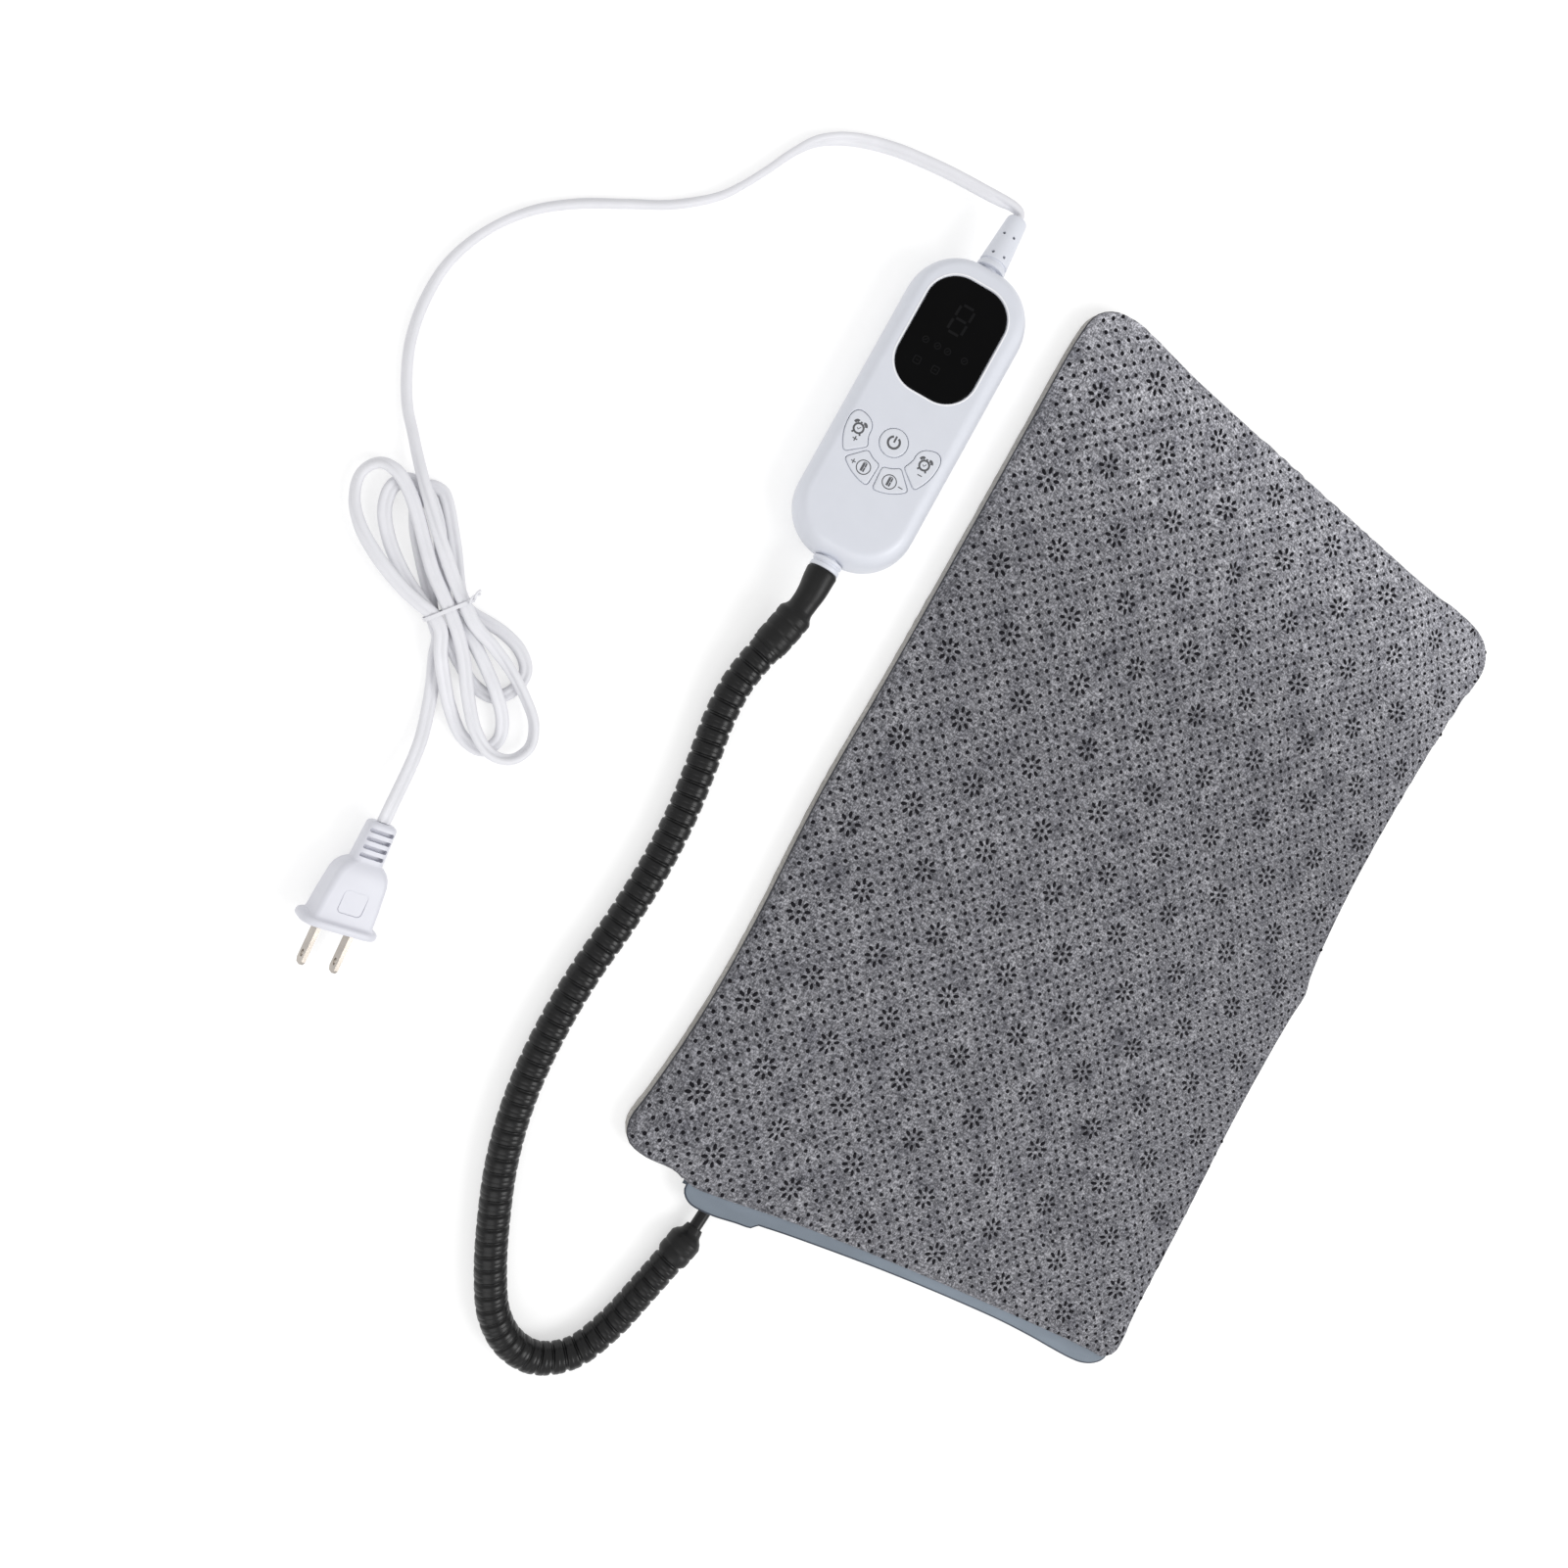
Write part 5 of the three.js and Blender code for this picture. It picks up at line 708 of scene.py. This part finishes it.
def opening(outline, low, flare):
    """Cutter with a small chamfer at the roof."""
    return stack(outline, ((FIT, low), (FIT, TOP - flare), (FIT + flare, TOP + 0.02), (FIT + flare, TOP + 3)))


def bores(radius, steps, centres, low, high):
    """Round cutters along the height."""
    return [Form().loft([at_height(circle(radius, steps, c), z) for z in (low, high)]) for c in centres]


shell_rings = crown(RIM, TOP, 6.2) + [case_ring(6.8, TOP)]
inner_rings = [case_ring(2.2, RIM), case_ring(2.4, 14), case_ring(3.6, 16.8), case_ring(6.2, 17.8)]
front = make("front_shell_skin", Form().loft(shell_rings[::-1] + inner_rings), "white_case", on_case,
             replaces=["front_shell"])
cut(front, "white_case", opening(lens_outline, 18.5, 0.35), *(opening(k, 16, 0.22) for k in KEYS.values()),
    place=on_case, sharp=30)
PART_STEP = 0.35
rear_rings = [case_ring(5.6, 0)] + crown(PART, 0, 5, 12)[::-1]
rear_rings += [case_ring(PART_STEP, PART), case_ring(PART_STEP, PART + PART_STEP), case_ring(2.2, PART + PART_STEP)]
rear = make("rear_shell_skin", Form().loft(rear_rings), "white_case", on_case, replaces=["rear_shell"])
HEADS = [(15.6, 52), (-15.6, 52), (-15.6, -52), (15.6, -52)]
cut(rear, "white_case", *bores(2.6, 24, HEADS, -1, 1.75), place=on_case, sharp=30)

# Rows of (growth of the outline, height)
LENS_ROWS = ((0.0, 18.8), (0.0, 19.75), (-0.1, 19.92), (-0.3, 20.04), (-0.7, 20.1), (-1.6, 20.13), (-6, 20.18))
LIP_ROWS = ((0.62, 19.7), (0.66, 20.06), (0.78, 20.14), (0.98, 20.15), (1.14, 20.08), (1.22, 19.98), (1.2, 19.7))
KEY_ROWS = ((0.2, 17.0), (0.2, 19.3), (0.15, 19.42), (0.0, 19.5), (0.0, 19.95), (-0.1, 20.12), (-0.3, 20.22),
            (-0.6, 20.25), (-1.2, 20.25))
make("display_lens_skin", stack(lens_outline, LENS_ROWS), "black_lens", on_case, replaces=["display_lens"], sharp=40)
# The raised lip round the lens is coloured lighter than the case: a painted highlight on its rim
make("display_lip_painted_highlight", stack(lens_outline, LIP_ROWS, hollow=True), "lip_painted_highlight", on_case, sharp=50)
for key, outline in KEYS.items():
    make(key + "_key_cap", stack(outline, KEY_ROWS), "white_key", on_case, body=key + "_key",
         replaces=[key + "_button"], sharp=40)


# --- printed signs on the keys, and unlit marks in the display
PRINT_Z = 20.275


def bar(u, v, du, dv):
    """Three points in a line about (u, v)."""
    return np.outer((-1, 0, 1), (du, dv)) + (u, v)


def strokes(form, u, v, *lines):
    """Printed strokes about (u, v), from pairs of a width and points."""
    for width, points in lines:
        form.strip(np.asarray(points) + (u, v), width, PRINT_Z)
    return form


def sign(form, kind, u, v, size, width):
    """A plus or a minus."""
    form.strip(bar(u, v, size, 0), width, PRINT_Z)
    if kind == "+":
        form.strip(bar(u, v, 0, size), width, PRINT_Z + 0.004)
    return form


def clock(u, v):
    form = Form().strip(circle(2.0, 36, (u, v)), 0.82, PRINT_Z, True)
    for way in (-1, 1):
        ear = spline([(way * 1.05, 2.55), (way * 1.65, 2.7), (way * 2.3, 2.2), (way * 2.5, 1.55)], steps=6)
        foot = [(way * 1.35, -1.75), (way * 1.7, -2.3), (way * 1.85, -2.55)]
        strokes(form, u, v, (1.15, ear), (0.75, foot))
    return strokes(form, u, v, (0.5, bar(0, 2.65, 0.4, 0)), (0.35, [(-0.7, 0.15), (-0.1, -0.45), (0.7, 0.75)]))


def thermometer(u, v):
    form = Form().strip(circle(2.85, 44, (u, v)), 0.42, PRINT_Z, True)
    return strokes(form, u, v, (0.95, bar(-0.42, 0, 0, -1.75)), (0.68, [(0.55, 1.75), (0.55, 0.9), (0.55, 0.2)]),
                   (0.68, [(0.55, 0.0), (0.55, -0.8), (0.55, -1.75)]), (0.3, [(-0.75, 1.95), (0.0, 2.1), (0.75, 1.95)]))


def print_on(key, form):
    make(key + "_sign", form, "grey_print", on_case, body=key + "_key", sharp=60)


power = Form().strip(circle(2.4, 32, (0, KEY_V), (116, 424)), 0.92, PRINT_Z)
print_on("power", power.strip(bar(0, KEY_V + 1.4, 0, 1.4), 0.78, PRINT_Z))
print_on("timer_plus", sign(clock(-15, -18), "+", -14.3, -22.3, 1.05, 0.48))
print_on("timer_minus", sign(clock(15, -18), "-", 15.3, -22.4, 1.0, 0.42))
print_on("heat_plus", sign(thermometer(-5.8, -30.7), "+", -10.5, -30.5, 1.0, 0.42))
print_on("heat_minus", sign(thermometer(6, -30.7), "-", 11, -30.7, 1.0, 0.42))

# Unlit marks: seven bars of a leaning digit, a row of dials and a row of squares
MARK_Z, BAR, LEAN = 20.2, 2.2, 0.05
DIGIT_V, DIALS_V, SQUARES_V = LENS_V + 8.6, LENS_V - 5.1, LENS_V - 14.1
marks = Form()
for u, v, flat in ((0, 6.1, True), (0, 0, True), (0, -6.1, True), (-3.1, 3.05, False), (3.1, 3.05, False),
                   (-3.1, -3.05, False), (3.1, -3.05, False)):
    way = (BAR, 0) if flat else (LEAN * BAR, BAR)
    marks.strip(bar(-0.2 + u + LEAN * v, DIGIT_V + v, *way), 1.1, MARK_Z)
for u in (-8.9, -3.5, 1.1, 8.8):
    marks.strip(circle(1.25, 20, (u, DIALS_V)), 0.4, MARK_Z, True)
    marks.strip([(u - 0.6, DIALS_V - 0.5), (u, DIALS_V), (u + 0.5, DIALS_V + 0.6)], 0.4, MARK_Z)
for u in (-8.0, 0.3):
    marks.strip(rounded(1.4, 1.5, 0.5, 4) + (u, SQUARES_V), 0.38, MARK_Z, True)
    marks.strip(bar(u, SQUARES_V, 0.5, 0), 0.38, MARK_Z)
make("display_marks", marks, "lens_mark", on_case, sharp=60)


# --- glands: boot of the cord, collar of the hose
def revolve(profile, steps=48):
    """A turned form about the glands' axis, from (radius, distance) pairs."""
    return Form().loft([[(a, d, AXIS_W + b) for a, b in circle(r, steps)] for r, d in profile])


def boot_radius(h):
    return lerp(6.4, 4.4, h / 25)


def at_end(way):
    return lambda u, v, w: on_case(u, v + way * CASE_HALF_V, w)


at_boot, at_collar = at_end(1), at_end(-1)
boot_profile = [(4.4, -3), (4.4, 0.1), (6.2, 0.3), (6.4, 0.5), (6.3, 2.2), (6.1, 2.5), (boot_radius(2.7) - 0.6, 2.7),
                (boot_radius(3.7) - 0.6, 3.7), (boot_radius(3.9) - 0.1, 3.85), (boot_radius(4.1), 4.1)]
boot_profile += [(boot_radius(h), h) for h in np.linspace(5, 23.2, 10)]
boot_profile += [(4.4, 24.1), (4.1, 24.7), (3.6, 25.0), (0.8, 25.0)]
boot = make("mains_boot_skin", revolve(boot_profile), "white_case", at_boot, replaces=["mains_boot"], sharp=40)
holes = [(way * boot_radius(h) * 0.42, h) for h in (6.2, 15.5) for way in (-1, 1)]
cut(boot, "white_case", *bores(0.62, 16, holes, 12.6, 20), place=at_boot)
# Dark discs at the floors of the boot's holes: painted shade for the holes' shadowed depths
hole_shade = Form()
for hole in holes:
    hole_shade.disc(circle(0.60, 16, hole), 12.75)
make("boot_hole_shade_discs", hole_shade, "hole_floor_painted_shade", at_boot)
collar_profile = [(4.4, 3), (4.4, -0.1), (6.2, -0.25), (6.4, -0.45), (6.4, -1.4), (6.2, -1.6), (5.75, -1.8),
                  (5.75, -2.6), (6.2, -2.8), (6.4, -3.0), (6.4, -4.3), (6.1, -4.6), (3.0, -4.6)]
make("hose_collar_skin", revolve(collar_profile), "white_case", at_collar, replaces=["hose_collar"], sharp=40)

# --- pad: outline of the sewn cover, from the zip's left corner
SEAM_Z, SEAM_STEP = 7.65, 3.4
REACH = 150.0  # half the pad's width, over which insets are measured
outline_points = [
    (-151.5, -193.9), (-150.3, -187.3), (-147.7, -165.3), (-145.7, -135.2), (-145.7, -100), (-148.3, -40),
    (-147.6, 20), (-147.5, 90), (-147.7, 150), (-147.6, 188), (-146, 199.9), (-142.2, 205.4), (-133, 210.3),
    (-80, 209.6), (0, 209.2), (80, 209.5), (135, 210), (144.8, 206), (150.7, 197), (147.4, 170.1), (145.6, 148),
    (143.2, 112), (142.1, 70), (143.1, 37.9), (146.2, 8.9), (148.9, 0), (147.5, -14), (146.2, -44), (146, -79),
    (147.6, -130), (148.4, -181), (149.6, -201), (148.9, -209), (143, -212.3), (130, -211.6), (71, -210), (3, -209.2),
    (-62, -210), (-98, -212), (-112.9, -212), (-121.9, -209.1), (-137.9, -208.4), (-147.3, -205.3), (-151.1, -199.5)]
seam_line = even(spline(outline_points, closed=True), SEAM_STEP)
seam_line = even(np.vstack([seam_line, seam_line[:1]]), SEAM_STEP)[:-1]
count = len(seam_line)
seam_x, seam_y = seam_line.T
ZIP_X0, ZIP_X1, ZIP_Y = -114.0, 144.0, -200
in_zip = (smooth_step(seam_x, ZIP_X0 - 3, ZIP_X0 + 3) * smooth_step(-seam_x, -ZIP_X1 - 3, -ZIP_X1 + 3)
          * (seam_y < ZIP_Y))
SPINE = 62.0
spine_line = np.c_[np.zeros(count), np.clip(seam_y, -SPINE, SPINE)]


def edge_distance(points):
    """Distance of level points from the seam's outline."""
    a, b = seam_line, np.roll(seam_line, -1, 0)
    way = b - a
    out = np.full(len(points), 1e9)
    for start in range(0, len(points), 2000):
        p = points[start:start + 2000, None]
        t = np.clip(((p - a) * way).sum(2) / (way * way).sum(1), 0, 1)
        out[start:start + 2000] = np.linalg.norm(p - a - t[..., None] * way, axis=2).min(1)
    return out


def wobble(points, size, seed):
    return np.array([noise.noise(Vector((x / size + seed, y / size - seed, seed * 1.7))) for x, y in points])


def drawn_in(share):
    """The seam's outline, drawn in by a share of its way to the spine."""
    return lerp(seam_line, spine_line, share)


RIM_SEWN, RIM_ZIP, CROWN = 7.8, 10.55, 13.4
INSETS = np.r_[0, 0.25, 0.6, 1.1, 1.8, 2.8, 4.2, 6.2, 9, np.arange(12.5, REACH, 3.6)]
shares = np.minimum(INSETS / REACH, 0.998)
level = np.vstack([drawn_in(share) for share in shares])
inside = edge_distance(level)
rim_z = np.tile(lerp(RIM_SEWN, RIM_ZIP, in_zip), len(shares))
fade = 1 - np.exp(-inside / 10)
crown_z = rim_z + (CROWN - rim_z) * (1 - np.exp(-np.sqrt(inside / 2.8)))
crown_z += fade * (0.42 * wobble(level, 60, 3.1) + 0.16 * wobble(level, 19, 8.2))
crown_z += 0.30 * np.exp(-inside / 14) * (1 - np.exp(-inside / 1.2)) * wobble(level, 8, 5.5)
skin_points = np.c_[level, crown_z]


def puff(points, faces, held, pressure, frames, cap):
    """Blows the sewn panel up a little as cloth, held along its seam, and returns where its points come to rest."""
    panel = mesh_object("panel", points, faces)
    panel.vertex_groups.new(name="seam").add(list(held), 1.0, "REPLACE")
    cloth = panel.modifiers.new("cloth", "CLOTH")
    rules = cloth.settings
    rules.quality = 4
    rules.mass = 0.25
    rules.tension_stiffness = rules.compression_stiffness = 12
    rules.shear_stiffness = 6
    rules.bending_stiffness = 1.5
    rules.vertex_group_mass = "seam"
    rules.use_pressure = True
    rules.uniform_pressure_force = pressure
    rules.shrink_min = -0.012
    rules.effector_weights.gravity = 0
    cloth.collision_settings.use_collision = False
    cloth.point_cache.frame_start, cloth.point_cache.frame_end = 1, frames
    for f in range(1, frames + 1):
        scene.frame_set(f)
    rested = panel.evaluated_get(bpy.context.evaluated_depsgraph_get())
    out = np.array([v.co for v in rested.data.vertices]) / MM
    scene.frame_set(1)
    bpy.data.objects.remove(panel)
    moved = out - points
    far = np.linalg.norm(moved, axis=1)[:, None]
    return points + moved * np.minimum(1, cap / np.maximum(far, 1e-9))


HELD_RINGS, PRESSURE, FRAMES, FARTHEST = 3, 0.4, 20, 1.2
rested = puff(skin_points, quads(len(shares), count), range(HELD_RINGS * count), PRESSURE, FRAMES, FARTHEST)
moved = (rested - skin_points).reshape(-1, count, 3)
# Evened out towards the spine, where the rings meet in a crease
from_ring = int(np.argmax(shares > 0.6))
middle = moved[from_ring].mean(0) * [0, 0, 1]
for ring_at in range(from_ring, len(moved)):
    moved[ring_at] = lerp(moved[from_ring], middle, smooth_step(shares[ring_at], shares[from_ring], 0.92))
skin_points = skin_points + moved.reshape(-1, 3)
under_z = np.maximum(skin_points[:, 2] - 1.4 * np.clip(inside / 1.5, 0.15, 1), rim_z - 0.2)
under = np.c_[skin_points[:, :2], under_z].reshape(-1, count, 3)
grip = make("grip_panel_skin", Form().loft([*under[::-1], *skin_points.reshape(-1, count, 3)]), "grey_felt",
            replaces=["grip_panel"], sharp=70)

# Plush panel: flat underside and turned-up wall from rows of (inset, share of the wall's height), then its inner side
WALL_SEWN, WALL_ZIP, PLUSH_FLOOR = 7.5, 2.75, 2.4
wall_top = lerp(WALL_SEWN, WALL_ZIP, in_zip)
plush_rings = [np.c_[drawn_in(inset / REACH), wall_top * share] for inset, share in (
    (100, 0), (40, 0), (12, 0), (5, 0), (2.4, 0.03), (0.9, 0.14), (0.2, 0.32), (0, 0.5), (0, 0.7), (0, 0.88), (0.4, 1),
    (2, 1))]
plush_rings += [at_height(drawn_in(inset / REACH), PLUSH_FLOOR) for inset in (2.4, 40, 100)]
plush_points = np.vstack(plush_rings)
plush_z = plush_points[:, 2:]
pile = (plush_z > 0.2) * (plush_z < WALL_SEWN - 0.1)
fuzz = 0.35 * wobble(plush_points[:, :2] + plush_z * 1.7, 2.6, 2.2)[:, None] * pile
outward = unit(seam_line - spine_line)
plush_points[:, :2] += np.tile(outward, (len(plush_rings), 1)) * fuzz
plush = make("plush_panel_skin", Form().loft(plush_points.reshape(-1, count, 3)), "plush", replaces=["plush_panel"],
             sharp=70)

# Seam thread between the panels, left open along the zip
sewn = np.where(in_zip < 0.5)[0]
first = sewn[np.argmax(np.diff(np.r_[sewn[-1] - count, sewn]))]
order = [(first + k) % count for k in range(len(sewn))]
thread = np.c_[seam_line[order] + outward[order] * -0.15, np.full(len(order), SEAM_Z)]
make("seam_thread", Form().loft(tube_rings(thread, 0.5, 10)), "seam_thread", sharp=60)

# --- zip: flap with its dark edge (partly a darker hem, partly painted shade), coils
flap_edge = even(spline([(-114, -210.5), (-113.6, -215), (-109, -219), (-98, -220.4), (-84, -219.6), (-75.2, -218.8),
                         (-74.2, -217.2), (-69, -216.6), (-58, -215.9), (-30, -214.9), (3, -214.2), (40, -214.3),
                         (71, -215), (95, -216.6), (111, -218.2), (124, -219.2), (132, -219.1), (139, -217.2),
                         (143.6, -213.8), (144.6, -211)]), 2.0)
FLAP_ROOT, FLAP_Z, FLAP_THICK = -206.0, 10.05, 0.55
flap_root = np.c_[flap_edge[:, 0], np.full(len(flap_edge), FLAP_ROOT)]
top_rows = []
for t in np.linspace(0, 1, 10):
    flat = lerp(flap_root, flap_edge, t)
    droop = 0.45 * (max(0, t - 0.45) / 0.55) ** 1.5
    top_rows.append(np.c_[flat, FLAP_Z + 0.12 * math.sin(math.pi * t) - droop + 0.12 * wobble(flat, 14, 4.4)])
flap_rows = np.stack(top_rows + [row - [0, 0, FLAP_THICK] for row in top_rows[::-1]])
make("zip_flap", Form().loft(flap_rows.swapaxes(0, 1)), "slate_tape", replaces=["zip_tape_upper"], sharp=50)
# The dark tube along the flap's outer edge: partly a darker rolled hem, partly painted shade for the shadow line under
# the turned-down edge
make("zip_flap_edge", Form().loft(tube_rings(top_rows[-1] - [0, 0, 0.25], 0.45, 10)), "tape_hem_and_edge_shade", sharp=60)

COILS, COIL_FROM, COIL_PITCH = 140, -87.2, 1.5
COIL_Y = np.array([-211.4, -213.0, -213.35, -213.0, -211.4])
COIL_RISE = np.array([0.25, 0.3, 1.2, 2.05, 2.1])
coils = Form()
for k in range(COILS):
    x = COIL_FROM + COIL_PITCH * k + np.linspace(0, 0.5, len(COIL_Y))
    for base, way in ((9.25, -1), (3.55, 1)):
        loop = spline(np.c_[x, COIL_Y, base + way * COIL_RISE], steps=3)
        coils.loft(tube_rings(loop, 0.36, 6))
make("zip_coils", coils, "zip_nylon", replaces=["zip_teeth_upper", "zip_teeth_lower"], sharp=70)

# --- grip pattern: raised dots and daisies on the felt
felt_tree = BVHTree.FromObject(grip, bpy.context.evaluated_depsgraph_get())
DAISY, DOTS = 21.58, 6  # lattice of the daisies, and dots to a daisy's pitch
PETALS, PETAL_AT, PETAL_HALF, DOT_R = 8, 4.1, (0.90, 1.65), 1.0
CLEAR = 2.1  # dots' pitches round a daisy that stay free of dots
ORIGIN = np.array((-1.55, -2.8))
TILT = math.radians(-0.8)
TURN = np.array([(math.cos(TILT), math.sin(TILT)), (-math.sin(TILT), math.cos(TILT))])
FELT_LOW, FELT_STEEP = 9.5, 0.25
HALF_DIAGONAL = 260
pattern = Form()


def lattice(step, half_x, half_y):
    """Every other point of a square lattice within the given halves, with its place in the lattice."""
    span = int(HALF_DIAGONAL / step)
    for i in range(-span, span + 1):
        for j in range(-span, span + 1):
            p = ORIGIN + step * (np.array((i, j)) @ TURN)
            if (i + j) % 2 == 0 and abs(p[0]) <= half_x and abs(p[1]) <= half_y:
                yield i, j, p


def on_felt(p):
    hit, normal, _, _ = felt_tree.ray_cast(Vector((p[0] * MM, p[1] * MM, 0.1)), Vector((0, 0, -1)))
    if hit is None or hit.z < FELT_LOW * MM or normal.z < FELT_STEEP:
        return None
    return np.array(hit) / MM, np.array(normal)


def bead(centre, across, along, way, height=0.3, sides=8):
    """A low printed bead, longer one way than the other, lying wholly on the felt."""
    found = on_felt(centre)
    if found is None or edge_distance(np.array([centre]))[0] < along + 0.2:
        return
    spot, normal = found
    u = np.array([way[0], way[1], 0.0])
    u = unit(u - normal * (u @ normal))
    v = np.cross(normal, u)
    a = np.arange(sides) / sides * 2 * math.pi
    ring = np.outer(np.cos(a) * along, u) + np.outer(np.sin(a) * across, v)
    points = np.vstack([spot + ring - 0.1 * normal, spot + ring * 0.92 + 0.55 * height * normal,
                        spot + ring * 0.55 + height * normal])
    pattern.add(points, quads(3, sides) + [tuple(range(2 * sides, 3 * sides))])


def free_of_daisies(i, j):
    near_i, near_j = round(i / DOTS), round(j / DOTS)
    return all(math.hypot(i - DOTS * a, j - DOTS * b) >= CLEAR for a in range(near_i - 1, near_i + 2)
               for b in range(near_j - 1, near_j + 2) if (a + b) % 2 == 0)


for _, _, p in lattice(DAISY, 160, 220):
    for k in range(PETALS):
        a = TILT + (k + 0.5) * 2 * math.pi / PETALS
        way = np.array((math.cos(a), math.sin(a)))
        bead(p + way * PETAL_AT, *PETAL_HALF, way)
    bead(p, DOT_R, DOT_R, (1, 0))
for i, j, p in lattice(DAISY / DOTS, 156, 216):
    if free_of_daisies(i, j):
        bead(p, DOT_R, DOT_R, (1, 0))
make("grip_pattern", pattern, "grip_dot", sharp=70)

# --- finishes of the solids that stay
finishes = {
    "slate_tape": ["zip_tape_lower"], "zip_nylon": ["zip_bottom_stop"], "zip_metal": ["zip_slider", "zip_pull"],
    "nickel": ["plug_blade_left", "plug_blade_right", "fuse"] + [f"case_screw_{k}" for k in (1, 2, 3, 4)],
    "inner_liner": ["insert_liner_lower", "insert_liner_upper"],
    "inner_felt": ["insert_felt_lower", "insert_felt_upper", "film_capacitor"],
    "wire_jacket": ["heating_wire"], "green_board": ["circuit_board"],
    "dark_plastic": ["thermal_cutout", "temperature_sensor", "lead_clamp", "display_module", "triac", "mains_terminal",
                     "heater_terminal"] + [f"{k}_switch{p}" for k in KEYS for p in ("", "_plunger")],
}
for finish, names in finishes.items():
    for name in names:
        nodes[name].data.materials.clear()
        nodes[name].data.materials.append(FINISH[finish])
for name, width in (("plug_blade_left", 0.25), ("plug_blade_right", 0.25), ("zip_slider", 0.18), ("zip_pull", 0.18)):
    edge = nodes[name].modifiers.new("edge", "BEVEL")
    edge.width, edge.segments, edge.angle_limit = width * MM, 2, math.radians(40)

# --- stage and light
FLOOR_HALF, FLOOR_Z, FLOOR_GLOW = 6000, -0.4, 0.56
floor = mesh_object("floor", at_height(FLOOR_HALF * np.array([(-1, -1), (1, -1), (1, 1), (-1, 1)]), FLOOR_Z),
                    [(0, 1, 2, 3)])
floor_look, floor_tree, floor_shader = new_material("floor", 0.9, Specular_IOR_Level=0.0, Emission_Color=(1, 1, 1, 1))
rays = add_node(floor_tree, "LightPath")
seen = math_node(floor_tree, "MAXIMUM", rays["Is Camera Ray"], rays["Is Glossy Ray"])
seen = math_node(floor_tree, "MAXIMUM", seen, rays["Is Transmission Ray"])
feed(floor_tree, floor_shader, Base_Color=ramp(floor_tree, seen, [(0, 0.97), (1, 0.52)]),
     Emission_Strength=math_node(floor_tree, "MULTIPLY", seen, FLOOR_GLOW))
floor.data.materials.append(floor_look)

world = bpy.data.worlds.new("world")
scene.world = world
world.use_nodes = True
background = world.node_tree.nodes["Background"].inputs
background["Color"].default_value = (1, 1, 1, 1)
background["Strength"].default_value = 0.72


def lamp(name, place, aim, size, watts):
    data = bpy.data.lights.new(name, "AREA")
    data.shape = "DISK"
    data.size = size
    data.energy = watts
    made = new_object(name, data)
    made.location = place
    made.rotation_mode = "QUATERNION"
    made.rotation_quaternion = (Vector(aim) - Vector(place)).to_track_quat("-Z", "Y")


lamp("key", (1.1, -0.1, 1.5), (-0.1, 0.0, 0), 1.1, 14)
lamp("fill", (-0.5, -1.2, 1.2), (-0.15, 0, 0), 1.4, 5.0)
